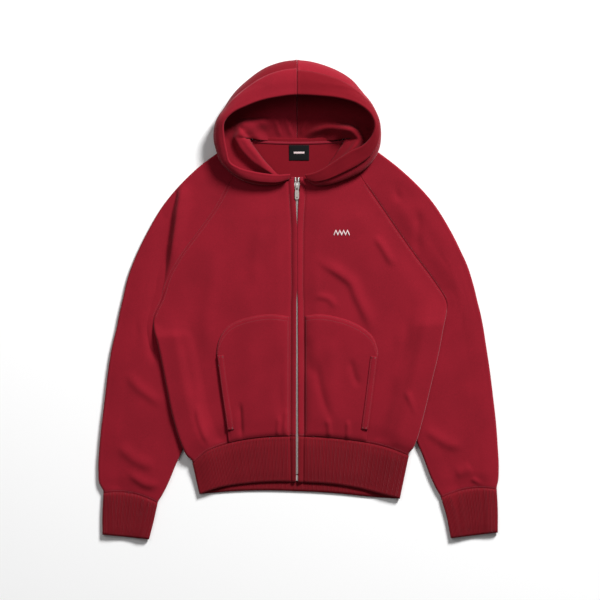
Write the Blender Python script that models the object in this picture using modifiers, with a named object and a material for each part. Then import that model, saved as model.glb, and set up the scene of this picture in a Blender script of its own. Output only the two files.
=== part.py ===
"""A zip up hoodie laid flat on its back, made of the pieces that a maker cuts and sews.

Sizes are in millimetres and become metres where a mesh is made. X runs across the garment, the
wearer's right at -X. Y runs from the hem to the hood, and Z up from the table that it lies on.
The origin is on the underside, below the zip. In the tables, out is the distance from the zip
line, so one set of functions makes both sides.
"""
import math

import bpy
import numpy as np
from mathutils import Matrix

MM = 0.001

# Cloth and how its layers lie
CLOTH = 2.6
HALF = CLOTH / 2
SEAM = 0.3
HEM_GAP = 0.8                 # the waistband's turned side leans towards the panels above it
FLAT_DEPTH = CLOTH + 0.8      # back to front, middle to middle, where they lie on each other
FOLD_DEPTH = CLOTH + 3.6      # the same at a folded edge
FOLD_FULL = 10.0              # a sleeve's folded edge stays plump this far in
FOLD_FADE = 40.0              # and lies flat from here
SIDE_FULL = 32.0              # the body's side stays plump, and raised over the sleeve, this far in
SIDE_FADE = 75.0              # and lies flat from here
ZIP_PLUMP = 0.9               # plumpness of the turned edges over the zip, 1 at a folded edge
ZIP_FULL = 2.0
ZIP_FADE = 13.0
NECK_FADE = (180.0, 225.0)    # the layers are held apart by the neck seam above this stretch
SLEEVE_LIFT = 9.4             # the body's sides lie over the sleeves
ROUND_STEPS = (17.0, 52.0, 90.0)

# Zip
CHAIN_WIDTH = 6.0
CHAIN_Z = (3.1, 5.6)
TAPE = 0.6
TAPE_Z = (4.35, 3.5)          # middle of the tape at the chain and at its outer edge
SLIDER_Y = (213.0, 227.0)
SLIDER_HALF = (4.0, 5.5)
SLIDER_PLATE = 1.0
SLIDER_Z = (2.9, 7.6)
TAB_AXIS = (0.0, 220.0, 9.9)
TAB = 1.5
TAB_LENGTH = 27.4
TAB_HALF = 4.0
TAB_NECK = (3.4, 9.5)         # half width of its upper part and how far that reaches
TAB_WINDOW = 2.1              # half width of the opening behind the crossbar
TAB_HOLE = 1.3                # radius of the hole near its end
# Section of the slider's arch, from the middle of the tab's crossbar: along y, up
ARCH = [(-5.5, -2.9), (-5.2, 0.4), (-3.8, 1.9), (0, 2.3), (3.8, 1.9), (5.2, 0.4), (5.5, -2.9)]
ARCH_HALF = 1.5
BOX_Y = (-355.0, -344.0)      # the box at the foot of the chain
STOP_OUT = (1.6, 4.2)         # the two stops at its head
STOP_Y = (229.0, 236.0)
STOP_Z = (3.4, 6.2)

# Half width of the slit between the fronts: y, half
SLIT = [(-400, 2.4), (-150, 1.8), (-8, 1.2), (0, 0.4), (167, 0.4), (192, 2.9), (213, 5.8), (240, 6.6)]
# Width of a zip tape beside the chain and the slider: y, inner out, outer out
TAPE_EDGE = [(-355, 3.3, 10.5), (-250, 3.3, 10.5), (-150, 3.3, 10.5), (-50, 3.3, 10.5),
             (50, 3.3, 10.5), (150, 3.3, 10.5), (205, 3.3, 10.5), (213, 5.9, 11.5),
             (228, 5.9, 12.0), (237, 4.6, 11.5)]

# Side of the body from the hem seam to the underarm: out, y, y where the row meets the zip and
# how far the row is raised over the sleeve, as a share of SLEEVE_LIFT
BODY = {
    "right": [(203, -320, -268, 0.45), (203.3, -317, -265, 0.46), (214, -306, -255, 0.82),
              (223, -288, -239, 1.0), (239, -240, -198, 1.0), (255, -165, -140, 1.0),
              (267, -105, -94, 1.0), (273, -79, -72, 1.0), (278, -62, -56, 0.5), (280, -46, -42, 0.0)],
    "left": [(217, -305, -268, 0.45), (217.3, -302, -265, 0.46), (226, -291, -255, 0.82),
             (233, -274, -239, 1.0), (246, -228, -198, 1.0), (263, -158, -140, 1.0),
             (277, -98, -94, 1.0), (285, -55, -72, 1.0), (290, -32, -56, 0.5), (292, -10, -42, 0.0)],
}
# Raglan seam from the underarm to the neck: out, y, y where the row meets the zip
RAGLAN = {
    "right": [(280, -46, -42), (262, 0, -10), (248, 42, 20), (226, 82, 55), (197, 121, 92),
              (158, 175, 138), (125, 236, 190), (88, 300, 232)],
    "left": [(292, -10, -42), (276, 20, -10), (260, 43, 20), (233, 79, 55), (204, 120, 92),
             (163, 180, 138), (124, 238, 190), (90, 300, 232)],
}
# Sleeve from the cuff seam to the underarm: inner out, inner y, outer out, outer y
SLEEVE = {
    "right": [(272, -398, 376, -379), (271, -395, 376, -376), (264, -384, 384, -360),
              (254, -365, 386, -336), (236, -322, 384, -290), (220, -285, 380, -248),
              (218, -225, 374, -200), (228, -165, 368, -148), (242, -122, 362, -108),
              (265, -92, 356, -80), (277, -74, 351, -60), (280, -46, 346, -34)],
    "left": [(281, -388, 388, -372), (280, -385, 388, -369), (272, -371, 391, -354),
             (262, -350, 392, -332), (246, -308, 390, -288), (230, -268, 387, -246),
             (224, -212, 381, -192), (236, -146, 374, -136), (254, -98, 367, -90),
             (277, -64, 361, -52), (289, -44, 357, -32), (292, -10, 350, -4)],
}
# Outer fold of the sleeve from underarm level over the shoulder to the neck: out, y
SHOULDER = {
    "right": [(346, -34), (338, 0), (328, 42), (313, 82), (293, 124), (256, 186), (199, 248), (103, 318)],
    "left": [(350, -4), (343, 25), (333, 58), (318, 92), (299, 130), (260, 191), (204, 248), (112, 317)],
}
# Cuff: inner out, inner y, outer out, outer y at its seam and at its end
CUFF = {
    "right": [(272, -398, 376, -379), (280, -434, 378, -420), (289, -469, 378, -460)],
    "left": [(281, -388, 388, -372), (292, -426, 390, -412), (300, -467, 390, -456)],
}
HEM_SHARES = (0.0, 0.35, 0.7, 1.0)
CUFF_ARCH = 9.0               # the cuff seam bows this far up the sleeve

# Neck edge of the fronts, from the zip to the raglan seam: out, y
NECKLINE = {
    "right": [(6, 232), (22, 234), (40, 242), (58, 260), (74, 281), (88, 300)],
    "left": [(6, 232), (24, 234), (44, 243), (60, 257), (75, 277), (90, 300)],
}
# Hem seam from the side to the zip: out, y
HEM_SEAM = {
    "right": [(203, -320), (179, -299), (154, -288), (107, -276), (60, -270), (2, -268)],
    "left": [(217, -305), (183, -292), (138, -281), (103, -276), (60, -271), (2, -268)],
}
# Lower edge of the waistband in front: out, y
HEM_FRONT = {
    "right": [(189, -381), (154, -369), (100, -361), (25, -357), (2, -358)],
    "left": [(199, -390), (170, -383), (123, -371), (60, -361), (2, -358)],
}
# Hem seam of the back, from the side to the middle: out, y
HEM_SEAM_BACK = {
    "right": [(203, -320), (179, -299), (154, -289), (107, -284), (60, -283), (0, -284)],
    "left": [(217, -305), (183, -293), (138, -286), (103, -284), (60, -283), (0, -284)],
}
# Lower edge of the waistband at the back, from the side to the middle: out, y
HEM_BACK = {
    "right": [(189, -381), (130, -376), (60, -374), (0, -375.5)],
    "left": [(199, -390), (150, -387), (90, -381), (40, -377), (0, -375.5)],
}

BACK_NECK_Y = 306.0
BACK_NECK_RISE = 3.0          # the back neck seam is this much higher at the shoulders
BACK_NECK_OUT = {"right": 86.0, "left": 88.0}

# Hood, from the zip round the mouth to the centre seam. The rim is the hemmed edge of the mouth,
# the edge is the outermost line of the hood and the neck is its seam to the body:
# rim out, y, z, edge out, y, z, neck out, y, height of the fold inside
HOOD = {
    "right": [(14, 240, 20, 19, 231, 14, 13, 234, 0), (37, 238, 23, 38, 223, 14, 38, 242, 1),
              (60, 240, 26, 61, 222, 15, 51, 254, 4), (85, 244, 29, 86, 225, 16, 64, 268, 8),
              (113, 252, 33, 119, 239, 17, 76, 284, 11), (131, 264, 36, 146, 264, 18, 87, 299, 13),
              (138, 288, 40, 157, 292, 18, 97, 310, 12), (143, 318, 43, 161, 319, 17, 97, 317, 10),
              (142, 342, 45, 156, 346, 16, 84, 316, 9), (123, 362, 47, 140, 371, 15, 69, 308, 9),
              (101, 373, 49, 124, 396, 14, 53, 307, 8), (73, 384, 50, 98, 422, 14, 36, 306.5, 6),
              (37, 392, 51, 55, 451, 14, 18, 306, 6), (0, 396, 52, 0, 463, 14, 0, 306, 3)],
    "left": [(17, 239, 20, 22, 229, 14, 14, 234, 0), (30, 241, 23, 36, 222, 14, 38, 241, 1),
             (46, 247, 26, 56, 222, 15, 52, 250, 2), (68, 260, 29, 77, 227, 17, 64, 263, 4),
             (88, 273, 33, 101, 236, 18, 76, 280, 7), (108, 285, 36, 128, 250, 19, 87, 297, 10),
             (130, 296, 40, 151, 275, 18, 99, 309, 12), (148, 318, 43, 162, 310, 17, 102, 317, 12),
             (151, 337, 45, 160, 343, 16, 87, 316, 12), (143, 357, 47, 148, 372, 15, 71, 308, 12),
             (118, 378, 49, 128, 399, 14, 54, 307, 11), (84, 389, 50, 103, 427, 14, 36, 306.5, 9),
             (43, 394, 51, 58, 451, 14, 18, 306, 6), (0, 396, 52, 0, 463, 14, 0, 306, 3)],
}
HOOD_CENTRE_GAP = 0.35        # each half stays this far from the centre seam
ROLL = 14.0                   # reach of the rounding under the hood's outer edge
HOOD_OVERHANG = (16.0, 38.0)  # past the shoulders the hood sinks to the table over this stretch
LEAF_SHARES = (0.25, 0.45, 0.62, 0.8, 1.0)   # rows of the inner layer, from the rolled edge to the neck seam
SWELL_AT = 0.66               # place of the fold inside, the same way
SWELL_SPREAD = 0.2
CROWN_ANGLES = (0, 30, 60, 90)
ROLL_ANGLES = (40, 90)

# Pockets, corner at the hem seam by the zip first: out, y
POCKET_TOP = {
    "right": [(16, -35), (51, -31), (86, -35), (111, -42), (131, -52), (145, -68), (153, -86), (156, -106)],
    "left": [(16, -34), (41, -31), (72, -35), (105, -45), (132, -60), (147, -74), (154, -90), (157, -108)],
}
POCKET_SIDE = {
    "right": [(133, -279), (138, -238), (146, -185), (152, -140), (156, -106)],
    "left": [(135, -279), (142, -228), (148, -182), (153, -140), (157, -108)],
}
POCKET_IN = 16.0
WELT_WIDTH = 13.0
WELT_SPAN = (0.14, 0.97)      # of the pocket's slanted side
WELT = 1.6

LABEL = (39.0, 30.0, 0.6)
LABEL_AT = (4.0, 284.0)
NECK_TAPE_WIDTH = 4.5
MOTIF_AT = (87.0, 128.0)
MOTIF_PEAKS = 4
MOTIF_WIDTH = 30.0
MOTIF_HEIGHT = 8.0
MOTIF_STROKE = 4.5

SIGN = {"right": -1.0, "left": 1.0}

# name: colour, roughness, metallic
FINISHES = {
    "fleece": ((0.235, 0.013, 0.026), 0.92, 0.0),
    "rib": ((0.170, 0.010, 0.020), 0.92, 0.0),
    "tape": ((0.200, 0.012, 0.024), 0.85, 0.0),
    "metal": ((0.62, 0.60, 0.57), 0.30, 1.0),
    "thread": ((0.80, 0.62, 0.62), 0.60, 0.0),
    "label": ((0.010, 0.010, 0.011), 0.60, 0.0),
}


def along(rows, t):
    """Points on the smooth curve through the rows; t counts rows, and whole numbers hit them."""
    rows = np.array(rows, float)
    step = np.linalg.norm(np.diff(rows[:, :2], axis=0), axis=1)
    knots = np.concatenate([[0.0], np.cumsum(step)])
    slopes = np.gradient(rows, knots, axis=0)
    t = np.atleast_1d(np.asarray(t, float))
    k = np.clip(np.floor(t).astype(int), 0, len(rows) - 2)
    s = (t - k)[:, None]
    h = step[k][:, None]
    start = (2 * s**3 - 3 * s**2 + 1) * rows[k] + (s**3 - 2 * s**2 + s) * h * slopes[k]
    end = (3 * s**2 - 2 * s**3) * rows[k + 1] + (s**3 - s**2) * h * slopes[k + 1]
    return start + end


def even(rows, share):
    """Points on the curve at even shares of its length, 0 at the first row and 1 at the last."""
    fine = along(rows, np.linspace(0, len(rows) - 1, 40 * len(rows)))
    run = np.linalg.norm(np.diff(fine[:, :2], axis=0), axis=1)
    reach = np.concatenate([[0.0], np.cumsum(run)])
    return np.stack([np.interp(np.asarray(share) * reach[-1], reach, column) for column in fine.T], 1)


def ease(value, low, high):
    """0 up to low, 1 from high, and a soft step between."""
    s = np.clip((np.asarray(value, float) - low) / (high - low), 0, 1)
    return s * s * (3 - 2 * s)


def normals(points):
    """Unit vectors in plan, to the left of the curve's own direction."""
    run = np.gradient(points[:, :2], axis=0)
    run /= np.linalg.norm(run, axis=1)[:, None]
    return np.stack([-run[:, 1], run[:, 0]], 1)


def slit(y):
    """Half the gap between the fronts at a height y."""
    ys, halves = zip(*SLIT)
    return np.interp(y, ys, halves)


def fade(distance, full, none):
    """1 up to a distance, 0 from another, and a straight slope between."""
    return 1 - np.clip((np.asarray(distance, float) - full) / (none - full), 0, 1)


def plump_at_zip(distance):
    """Plumpness of the turned front edge over the zip."""
    return ZIP_PLUMP * fade(distance, ZIP_FULL, ZIP_FADE)


def depth(plump):
    """Distance from the middle of the back layer to the middle of the front one."""
    return FLAT_DEPTH + (FOLD_DEPTH - FLAT_DEPTH) * plump


def openness(row):
    """1 at the underarm, where the side folds, fading to 0 along the raglan seam."""
    return fade(row, 0, 1.6) ** 2


def seam_shift(fold):
    """Half the space between two pieces at their seam, more where both turn down into a fold."""
    return SEAM / 2 + (HALF + SEAM / 2) * np.sqrt(fold)


def raglan(side, layer):
    """Raglan seam of a layer: plan points, unit vectors to the body's side of it, and its fold."""
    rows = list(RAGLAN[side])
    if layer == "back":
        out = BACK_NECK_OUT[side]
        rows[-1] = (out, back_neck(out), rows[-1][2])
    count = np.arange(len(rows))
    line = along(rows, count)
    return line, normals(line), openness(count)


def side_line(side, layer):
    """Edge of the body below and above the underarm: plan, y at the zip, fold and raised share."""
    below = along(BODY[side], np.arange(len(BODY[side])))
    above, inward, fold = raglan(side, layer)
    low = below[:, :2] - (seam_shift(1.0), 0)
    high = above[:, :2] + inward * seam_shift(fold)[:, None]
    high[0] = low[-1]
    edge = np.concatenate([low[:-1], high])
    zip_y = np.concatenate([below[:-1, 2], above[:, 2]])
    folds = np.concatenate([np.ones(len(low) - 1), fold])
    raised = np.concatenate([below[:-1, 3], np.zeros(len(above))])
    return edge, zip_y, folds, raised


def coons(bottom, top, start, end, across, up):
    """Plan points of a patch between four edges: across runs start to end, up bottom to top."""
    u = across[:, :, None]
    v = up[:, None, None]
    corners = ((1 - u) * (1 - v) * start[0] + u * (1 - v) * end[0]
               + (1 - u) * v * start[-1] + u * v * end[-1])
    sides = (1 - u) * start[:, None, :] + u * end[:, None, :]
    return (1 - v) * bottom + v * top + sides - corners


def row_shares(edge):
    """Share of the way up a patch for each of its rows, by length."""
    run = np.linalg.norm(np.diff(edge, axis=0), axis=1)
    reach = np.concatenate([[0.0], np.cumsum(run)])
    return reach / reach[-1]


def side_columns(length, centre):
    """Distances from the side where a row of the body has its points, and their turn in the fold."""
    radius = FOLD_DEPTH / 2
    turns = [math.radians(step) for step in ROUND_STEPS]
    places = [radius * (1 - math.cos(turn)) for turn in turns]
    wide = min(1.0, 0.45 * length / SIDE_FADE)
    places += [wide * place for place in (FOLD_FULL, SIDE_FULL, (SIDE_FULL + SIDE_FADE) / 2, SIDE_FADE)]
    last = length - ZIP_FADE
    places += [(places[-1] + last) / 2]
    places += [length] if centre else [last, length - ZIP_FULL, length]
    turns += [math.pi / 2] * (len(places) - len(turns))
    return places, turns


def body_plan(side, layer):
    """Plan of half the body in a layer, with each point's distances, turn, fold and raised share."""
    edge, zip_y, fold, raised = side_line(side, layer)
    armpit = len(BODY[side]) - 1
    opening = np.stack([slit(zip_y), zip_y], 1)
    length = np.linalg.norm(opening - edge, axis=1)
    columns = [side_columns(size, layer == "back") for size in length]
    places = np.array([column[0] for column in columns])
    turns = np.array([column[1] for column in columns])
    across = places / length[:, None]
    low, high = slice(0, armpit + 1), slice(armpit, None)
    up_low, up_high = row_shares(edge[low]), row_shares(edge[high])
    if layer == "back":
        opening[:, 0] = 0
        opening[low, 1] += (1 - up_low) * (HEM_SEAM_BACK[side][-1][1] - zip_y[0])
        opening[high, 1] += up_high * (BACK_NECK_Y - zip_y[-1])
        neck = [(x, back_neck(x)) for x in np.linspace(edge[-1, 0], 0, 5)]
        hem = pinned(HEM_SEAM_BACK[side], edge[0], opening[0])
    else:
        neck = pinned(NECKLINE[side][::-1], edge[-1], opening[-1])
        hem = pinned(HEM_SEAM[side], edge[0], opening[0])
    bottom = np.stack([even(hem, row) for row in across[low]])
    chest = edge[armpit] + (opening[armpit] - edge[armpit]) * across[..., None]
    top = np.stack([even(neck, row) for row in across[high]])
    lower = coons(bottom, chest[low], edge[low], opening[low], across[low], up_low)
    upper = coons(chest[high], top, edge[high], opening[high], across[high], up_high)
    plan = np.concatenate([lower, upper[1:]])
    plan[0, :, 1] += SEAM / 2
    return plan, places, length[:, None] - places, turns, fold[:, None], raised[:, None]


def pinned(rows, start, end):
    """The rows of an outline with its two ends moved onto the corners of the piece."""
    rows = [tuple(row[:2]) for row in rows]
    return [tuple(start)] + rows[1:-1] + [tuple(end)]


def side_rise(from_side, raised):
    """Height of the underside of the body where it lies over a sleeve."""
    return SLEEVE_LIFT * raised * fade(from_side, SIDE_FULL, SIDE_FADE)


def front_height(y, from_side, from_zip, turns, fold, raised):
    """Height of the middle of the front layer over its plan."""
    neck = ease(y, *NECK_FADE)
    side = fold * fade(from_side, SIDE_FULL, SIDE_FADE)
    plump = np.maximum(side, np.maximum(plump_at_zip(from_zip), neck))
    rise = 1 + (1 - fold) + fold * np.sin(turns)
    return HALF + side_rise(from_side, raised) + depth(plump) / 2 * rise


def back_height(from_side, turns, fold, raised):
    """Height of the middle of the back layer, turned up at its sides."""
    bend = fold * (1 - np.sin(turns)) * FOLD_DEPTH / 2
    return HALF + side_rise(from_side, raised) + bend


def front_grid(side):
    """Middle surface of a front, from the side to the zip and from the hem seam to the neck."""
    plan, from_side, from_zip, turns, fold, raised = body_plan(side, "front")
    z = front_height(plan[..., 1], from_side, from_zip, turns, fold, raised)
    return np.dstack([plan * (SIGN[side], 1), z])


def back_grid():
    """Middle surface of the back, from the wearer's right side to the left."""
    halves = []
    for side in ("right", "left"):
        plan, from_side, _, turns, fold, raised = body_plan(side, "back")
        z = back_height(from_side, turns, fold, raised)
        halves.append(np.dstack([plan * (SIGN[side], 1), z]))
    return np.concatenate([halves[0], halves[1][:, -2::-1]], axis=1)


def back_neck(x):
    """Height in plan of the back neck seam."""
    return BACK_NECK_Y + BACK_NECK_RISE * (np.asarray(x) / BACK_NECK_OUT["right"]) ** 2


def ring_columns(length, radius):
    """Points of a flattened ring: distance from its inner fold, turn, and 1 in front or -1 behind."""
    turns = [math.radians(step) for step in ROUND_STEPS]
    full = min(FOLD_FULL, 0.2 * length)
    fade = min(FOLD_FADE, 0.35 * length)
    inner = [radius * (1 - math.cos(turn)) for turn in turns]
    front = inner + [full, fade, length / 2, length - fade, length - full]
    front_turns = turns + [math.pi / 2] * 5
    outer_turns = [math.radians(step) for step in (90, 45, 0, -45, -90)]
    outer = [length - radius * (1 - math.cos(turn)) for turn in outer_turns]
    back = [length * 0.66, length * 0.33]
    places = front + outer + back + inner[::-1]
    angles = front_turns + outer_turns + [-math.pi / 2] * 2 + [-turn for turn in reversed(turns)]
    at_inner = [True] * 8 + [False] * 5 + [False] * 2 + [True] * 3
    return np.array(places), np.array(angles), np.array(at_inner)


def ring_row(inner, outer, fold, arch=0.0, back_inner=None):
    """One row of a sleeve or a cuff: plan and height round a flattened ring."""
    inner, outer = np.array(inner, float), np.array(outer, float)
    back_inner = inner if back_inner is None else np.array(back_inner, float)
    length = np.linalg.norm(outer - inner)
    radius = min(FOLD_DEPTH / 2, 0.2 * length)
    places, angles, at_inner = ring_columns(length, radius)
    share = places / length
    front = angles > 0
    start = np.where(front[:, None], inner, back_inner)
    plan = start + (outer - start) * share[:, None]
    plan[:, 1] += arch * 4 * share * (1 - share)
    neck = ease(plan[:, 1], *NECK_FADE)
    near = fold * fade(places, FOLD_FULL, FOLD_FADE)
    plump = np.maximum(near, fade(length - places, FOLD_FULL, FOLD_FADE))
    deep = depth(np.maximum(plump, neck))
    turn = np.where(at_inner, fold * np.sin(angles) + (1 - fold) * np.sign(angles), np.sin(angles))
    return np.column_stack([plan, HALF + deep / 2 * (1 + turn)])


def sleeve_grid(side):
    """Middle surface of a raglan sleeve, rolled from its underarm seam round to itself."""
    rows = []
    shift = seam_shift(1.0)
    table = SLEEVE[side]
    for inner_out, inner_y, outer_out, outer_y in table:
        arch = CUFF_ARCH * fade(outer_y - table[0][3], 3, 40)
        rows.append(ring_row((inner_out + shift, inner_y), (outer_out, outer_y), 1.0, arch))
    rows[0][:, 1] += SEAM / 2
    front, inward, fold = raglan(side, "front")
    back, back_inward, _ = raglan(side, "back")
    front = front[:, :2] - inward * seam_shift(fold)[:, None]
    back = back[:, :2] - back_inward * seam_shift(fold)[:, None]
    for k in range(1, len(front)):
        rows.append(ring_row(front[k], SHOULDER[side][k], fold[k], 0.0, back[k]))
    grid = np.stack(rows)
    grid[..., 0] *= SIGN[side]
    return grid


def cuff_grid(side):
    """Middle surface of a rib cuff."""
    rows = []
    shift = seam_shift(1.0)
    for k, (inner_out, inner_y, outer_out, outer_y) in enumerate(CUFF[side]):
        arch = CUFF_ARCH if k == 0 else 0.0
        rows.append(ring_row((inner_out + shift, inner_y), (outer_out, outer_y), 1.0, arch))
    rows[0][:, 1] -= SEAM / 2
    grid = np.stack(rows)
    grid[..., 0] *= SIGN[side]
    return grid


def hem_grid():
    """Middle surface of the waistband, from the zip round the back to the zip again."""
    shares = np.array(HEM_SHARES)[:, None]
    fronts, backs = {}, {}
    for side in ("right", "left"):
        for layer, strips in (("front", fronts), ("back", backs)):
            plan, from_side, from_zip, turns, _, raised = body_plan(side, layer)
            top = plan[0] - (0, HEM_GAP)
            reach = from_side[0] / from_side[0, -1]
            low = even(HEM_FRONT[side] if layer == "front" else HEM_BACK[side], reach)
            if layer == "front":
                low[-1, 0] = slit(low[-1, 1])
            rows = top + (low - top) * shares[:, :, None]
            share_raised = raised[0] * (1 - shares) ** 2
            if layer == "front":
                z = front_height(rows[..., 1], from_side[0], from_zip[0], turns[0], 1.0, share_raised)
            else:
                z = back_height(from_side[0], turns[0], 1.0, share_raised)
            strips[side] = np.dstack([rows * (SIGN[side], 1), z])
    return np.concatenate([fronts["right"][:, ::-1], backs["right"], backs["left"][:, -2::-1],
                           fronts["left"]], axis=1)


def hood_rest(side, out, y):
    """Height of the top of what the hood lies on: the shoulders and fronts, or the table."""
    shoulder = even(SHOULDER[side][5:], np.linspace(0, 1, 12))
    inner = even(NECKLINE[side][::-1], np.linspace(0, 1, 12))
    fence = np.concatenate([shoulder, inner])
    point = np.stack([np.asarray(out, float).ravel(), np.asarray(y, float).ravel()], 1)
    best = np.full(len(point), 1e9)
    beyond = np.zeros(len(point), bool)
    for start, end in zip(fence[:-1], fence[1:]):
        run = end - start
        size = np.linalg.norm(run)
        if size < 1e-6:
            continue
        share = np.clip((point - start) @ run / size**2, 0, 1)
        gap = point - (start + share[:, None] * run)
        distance = np.linalg.norm(gap, axis=1)
        nearer = distance < best
        best = np.where(nearer, distance, best)
        outside = run[0] * gap[:, 1] - run[1] * gap[:, 0] < 0
        beyond = np.where(nearer, outside, beyond)
    top = FOLD_DEPTH + CLOTH
    away = np.where(beyond, best, 0.0)
    return (top * (1 - ease(away, *HOOD_OVERHANG))).reshape(np.shape(out))


def hood_grid(side, rows=18):
    """Middle surface of half a hood: from its rim over the top, round the edge and in to the neck."""
    table = HOOD[side]
    before = table[-2]
    mirrored = (-before[0],) + before[1:3] + (-before[3],) + before[4:6] + (-before[6],) + before[7:]
    section = along([row for row in table] + [mirrored], np.linspace(0, len(table) - 1, rows))
    rim, edge, neck = section[:, 0:3], section[:, 3:6], section[:, 6:8]
    swell = section[:, 8]
    columns = []
    for angle in np.radians(CROWN_ANGLES):
        plan = rim[:, :2] + (edge[:, :2] - rim[:, :2]) * math.sin(angle)
        z = edge[:, 2] + (rim[:, 2] - edge[:, 2]) * math.cos(angle)
        columns.append(np.column_stack([plan, z]))
    way = neck - edge[:, :2]
    reach = np.linalg.norm(way, axis=1)
    roll = np.minimum(ROLL, 0.4 * reach)
    for angle in np.radians(ROLL_ANGLES):
        plan = edge[:, :2] + way * (roll / reach * (1 - math.cos(angle)))[:, None]
        low = hood_rest(side, plan[:, 0], plan[:, 1]) + HALF + SEAM
        z = low + (edge[:, 2] - low) * (1 - math.sin(angle))
        columns.append(np.column_stack([plan, z]))
    for share in LEAF_SHARES:
        part = roll / reach + (1 - roll / reach) * share
        plan = edge[:, :2] + way * part[:, None]
        low = hood_rest(side, plan[:, 0], plan[:, 1])
        bump = math.exp(-((share - SWELL_AT) / SWELL_SPREAD) ** 2)
        z = low + HALF + SEAM + swell * bump
        columns.append(np.column_stack([plan, z]))
    grid = np.stack(columns, 1)
    grid[..., 0] = np.maximum(grid[..., 0], HOOD_CENTRE_GAP) * SIGN[side]
    grid[-1, :, 0] = HOOD_CENTRE_GAP * SIGN[side]
    behind = grid[:, -1, 1] > BACK_NECK_Y - 4
    seam = back_neck(grid[behind, -1, 0]) + SEAM
    grid[behind, -1, 1] = np.maximum(grid[behind, -1, 1], seam)
    return grid


def front_top(out, y):
    """Top of a front away from its folded side."""
    out, y = np.asarray(out, float), np.asarray(y, float)
    plump = np.maximum(plump_at_zip(out - slit(y)), ease(y, *NECK_FADE))
    return CLOTH + depth(plump)


def pocket_plan(side, columns=8, rows=8):
    """Plan of a pocket patch, from the zip outwards and from the hem seam up."""
    seam = even(HEM_SEAM[side][::-1], np.linspace(0, 1, 60))
    low_in = np.array([POCKET_IN, np.interp(POCKET_IN, seam[:, 0], seam[:, 1]) + 2 * SEAM])
    low_out = np.array([POCKET_SIDE[side][0][0], np.interp(POCKET_SIDE[side][0][0], seam[:, 0], seam[:, 1])])
    low_out[1] += 2 * SEAM
    bottom_out = np.linspace(low_in[0], low_out[0], columns)
    bottom = np.stack([bottom_out, np.interp(bottom_out, seam[:, 0], seam[:, 1]) + 2 * SEAM], 1)
    top = even(POCKET_TOP[side], np.linspace(0, 1, columns))
    opening = even(pinned(POCKET_SIDE[side], low_out, top[-1]), np.linspace(0, 1, rows))
    inner = np.stack([np.full(rows, POCKET_IN), np.linspace(low_in[1], top[0, 1], rows)], 1)
    across = np.tile(np.linspace(0, 1, columns), (rows, 1))
    return coons(bottom[None], top[None], inner, opening, across, np.linspace(0, 1, rows)), opening


def pocket_grid(side):
    """Middle surface of a pocket patch, lying on its front."""
    plan, _ = pocket_plan(side)
    z = front_top(plan[..., 0], plan[..., 1]) + SEAM + HALF
    return np.dstack([plan * (SIGN[side], 1), z])


def welt_grid(side):
    """Middle surface of the strip along the pocket's slanted opening."""
    _, opening = pocket_plan(side, rows=33)
    picked = even(opening, np.linspace(*WELT_SPAN, 8))
    turn = normals(picked)
    outer = picked + turn * 0.5
    inner = picked + turn * WELT_WIDTH
    plan = np.stack([inner, outer], 1)
    z = front_top(plan[..., 0], plan[..., 1]) + SEAM + CLOTH + SEAM + WELT / 2
    return np.dstack([plan * (SIGN[side], 1), z])


def tape_grid(side):
    """Middle surface of one zip tape, from the chain outwards."""
    rows = np.array(TAPE_EDGE, float)
    inner = np.column_stack([rows[:, 1], rows[:, 0], np.full(len(rows), TAPE_Z[0])])
    outer = np.column_stack([rows[:, 2], rows[:, 0], np.full(len(rows), TAPE_Z[1])])
    return np.stack([inner, outer], 1) * (SIGN[side], 1, 1)


def neck_tape_grid():
    """Middle surface of the tape on the back, just below the neck seam."""
    x = np.linspace(-BACK_NECK_OUT["right"] + 6, BACK_NECK_OUT["left"] - 6, 9)
    upper = back_neck(x) - 1.0
    z = np.full(len(x), CLOTH + SEAM + TAPE / 2)
    return np.stack([np.column_stack([x, upper - NECK_TAPE_WIDTH, z]), np.column_stack([x, upper, z])])


def motif_grid():
    """Middle surface of a small zigzag of thread on the wearer's left chest."""
    count = 2 * MOTIF_PEAKS + 1
    x = MOTIF_AT[0] + np.linspace(-MOTIF_WIDTH / 2, MOTIF_WIDTH / 2, count)
    y = MOTIF_AT[1] + np.where(np.arange(count) % 2, 1, -1) * MOTIF_HEIGHT / 2
    z = front_top(x, y) + SEAM + TAPE / 2
    low = np.column_stack([x, y - MOTIF_STROKE / 2, z])
    high = np.column_stack([x, y + MOTIF_STROKE / 2, z])
    return np.stack([low, high])


def finish(name):
    """The Principled material of a finish, made once."""
    found = bpy.data.materials.get(name)
    if found:
        return found
    colour, roughness, metallic = FINISHES[name]
    made = bpy.data.materials.new(name)
    made.use_nodes = True
    shader = made.node_tree.nodes["Principled BSDF"]
    shader.inputs["Base Color"].default_value = (*colour, 1)
    shader.inputs["Roughness"].default_value = roughness
    shader.inputs["Metallic"].default_value = metallic
    return made


def add(name, mesh, finish_name, collection):
    """Put a mesh into the hoodie's collection as one named piece."""
    piece = bpy.data.objects.new(name, mesh)
    mesh.materials.append(finish(finish_name))
    collection.objects.link(piece)
    return piece


def cloth(name, grid, thickness, finish_name, collection):
    """A wall of cloth about a grid of points on its middle surface."""
    rows, columns = grid.shape[:2]
    points = [tuple(point) for point in (grid.reshape(-1, 3) * MM)]
    faces = []
    for i in range(rows - 1):
        for j in range(columns - 1):
            first = i * columns + j
            faces.append((first, first + 1, first + columns + 1, first + columns))
    mesh = bpy.data.meshes.new(name)
    mesh.from_pydata(points, [], faces)
    mesh.shade_smooth()
    piece = add(name, mesh, finish_name, collection)
    wall = piece.modifiers.new("wall", "SOLIDIFY")
    wall.thickness = thickness * MM
    wall.offset = 0.0
    wall.use_even_offset = True
    return piece


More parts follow.
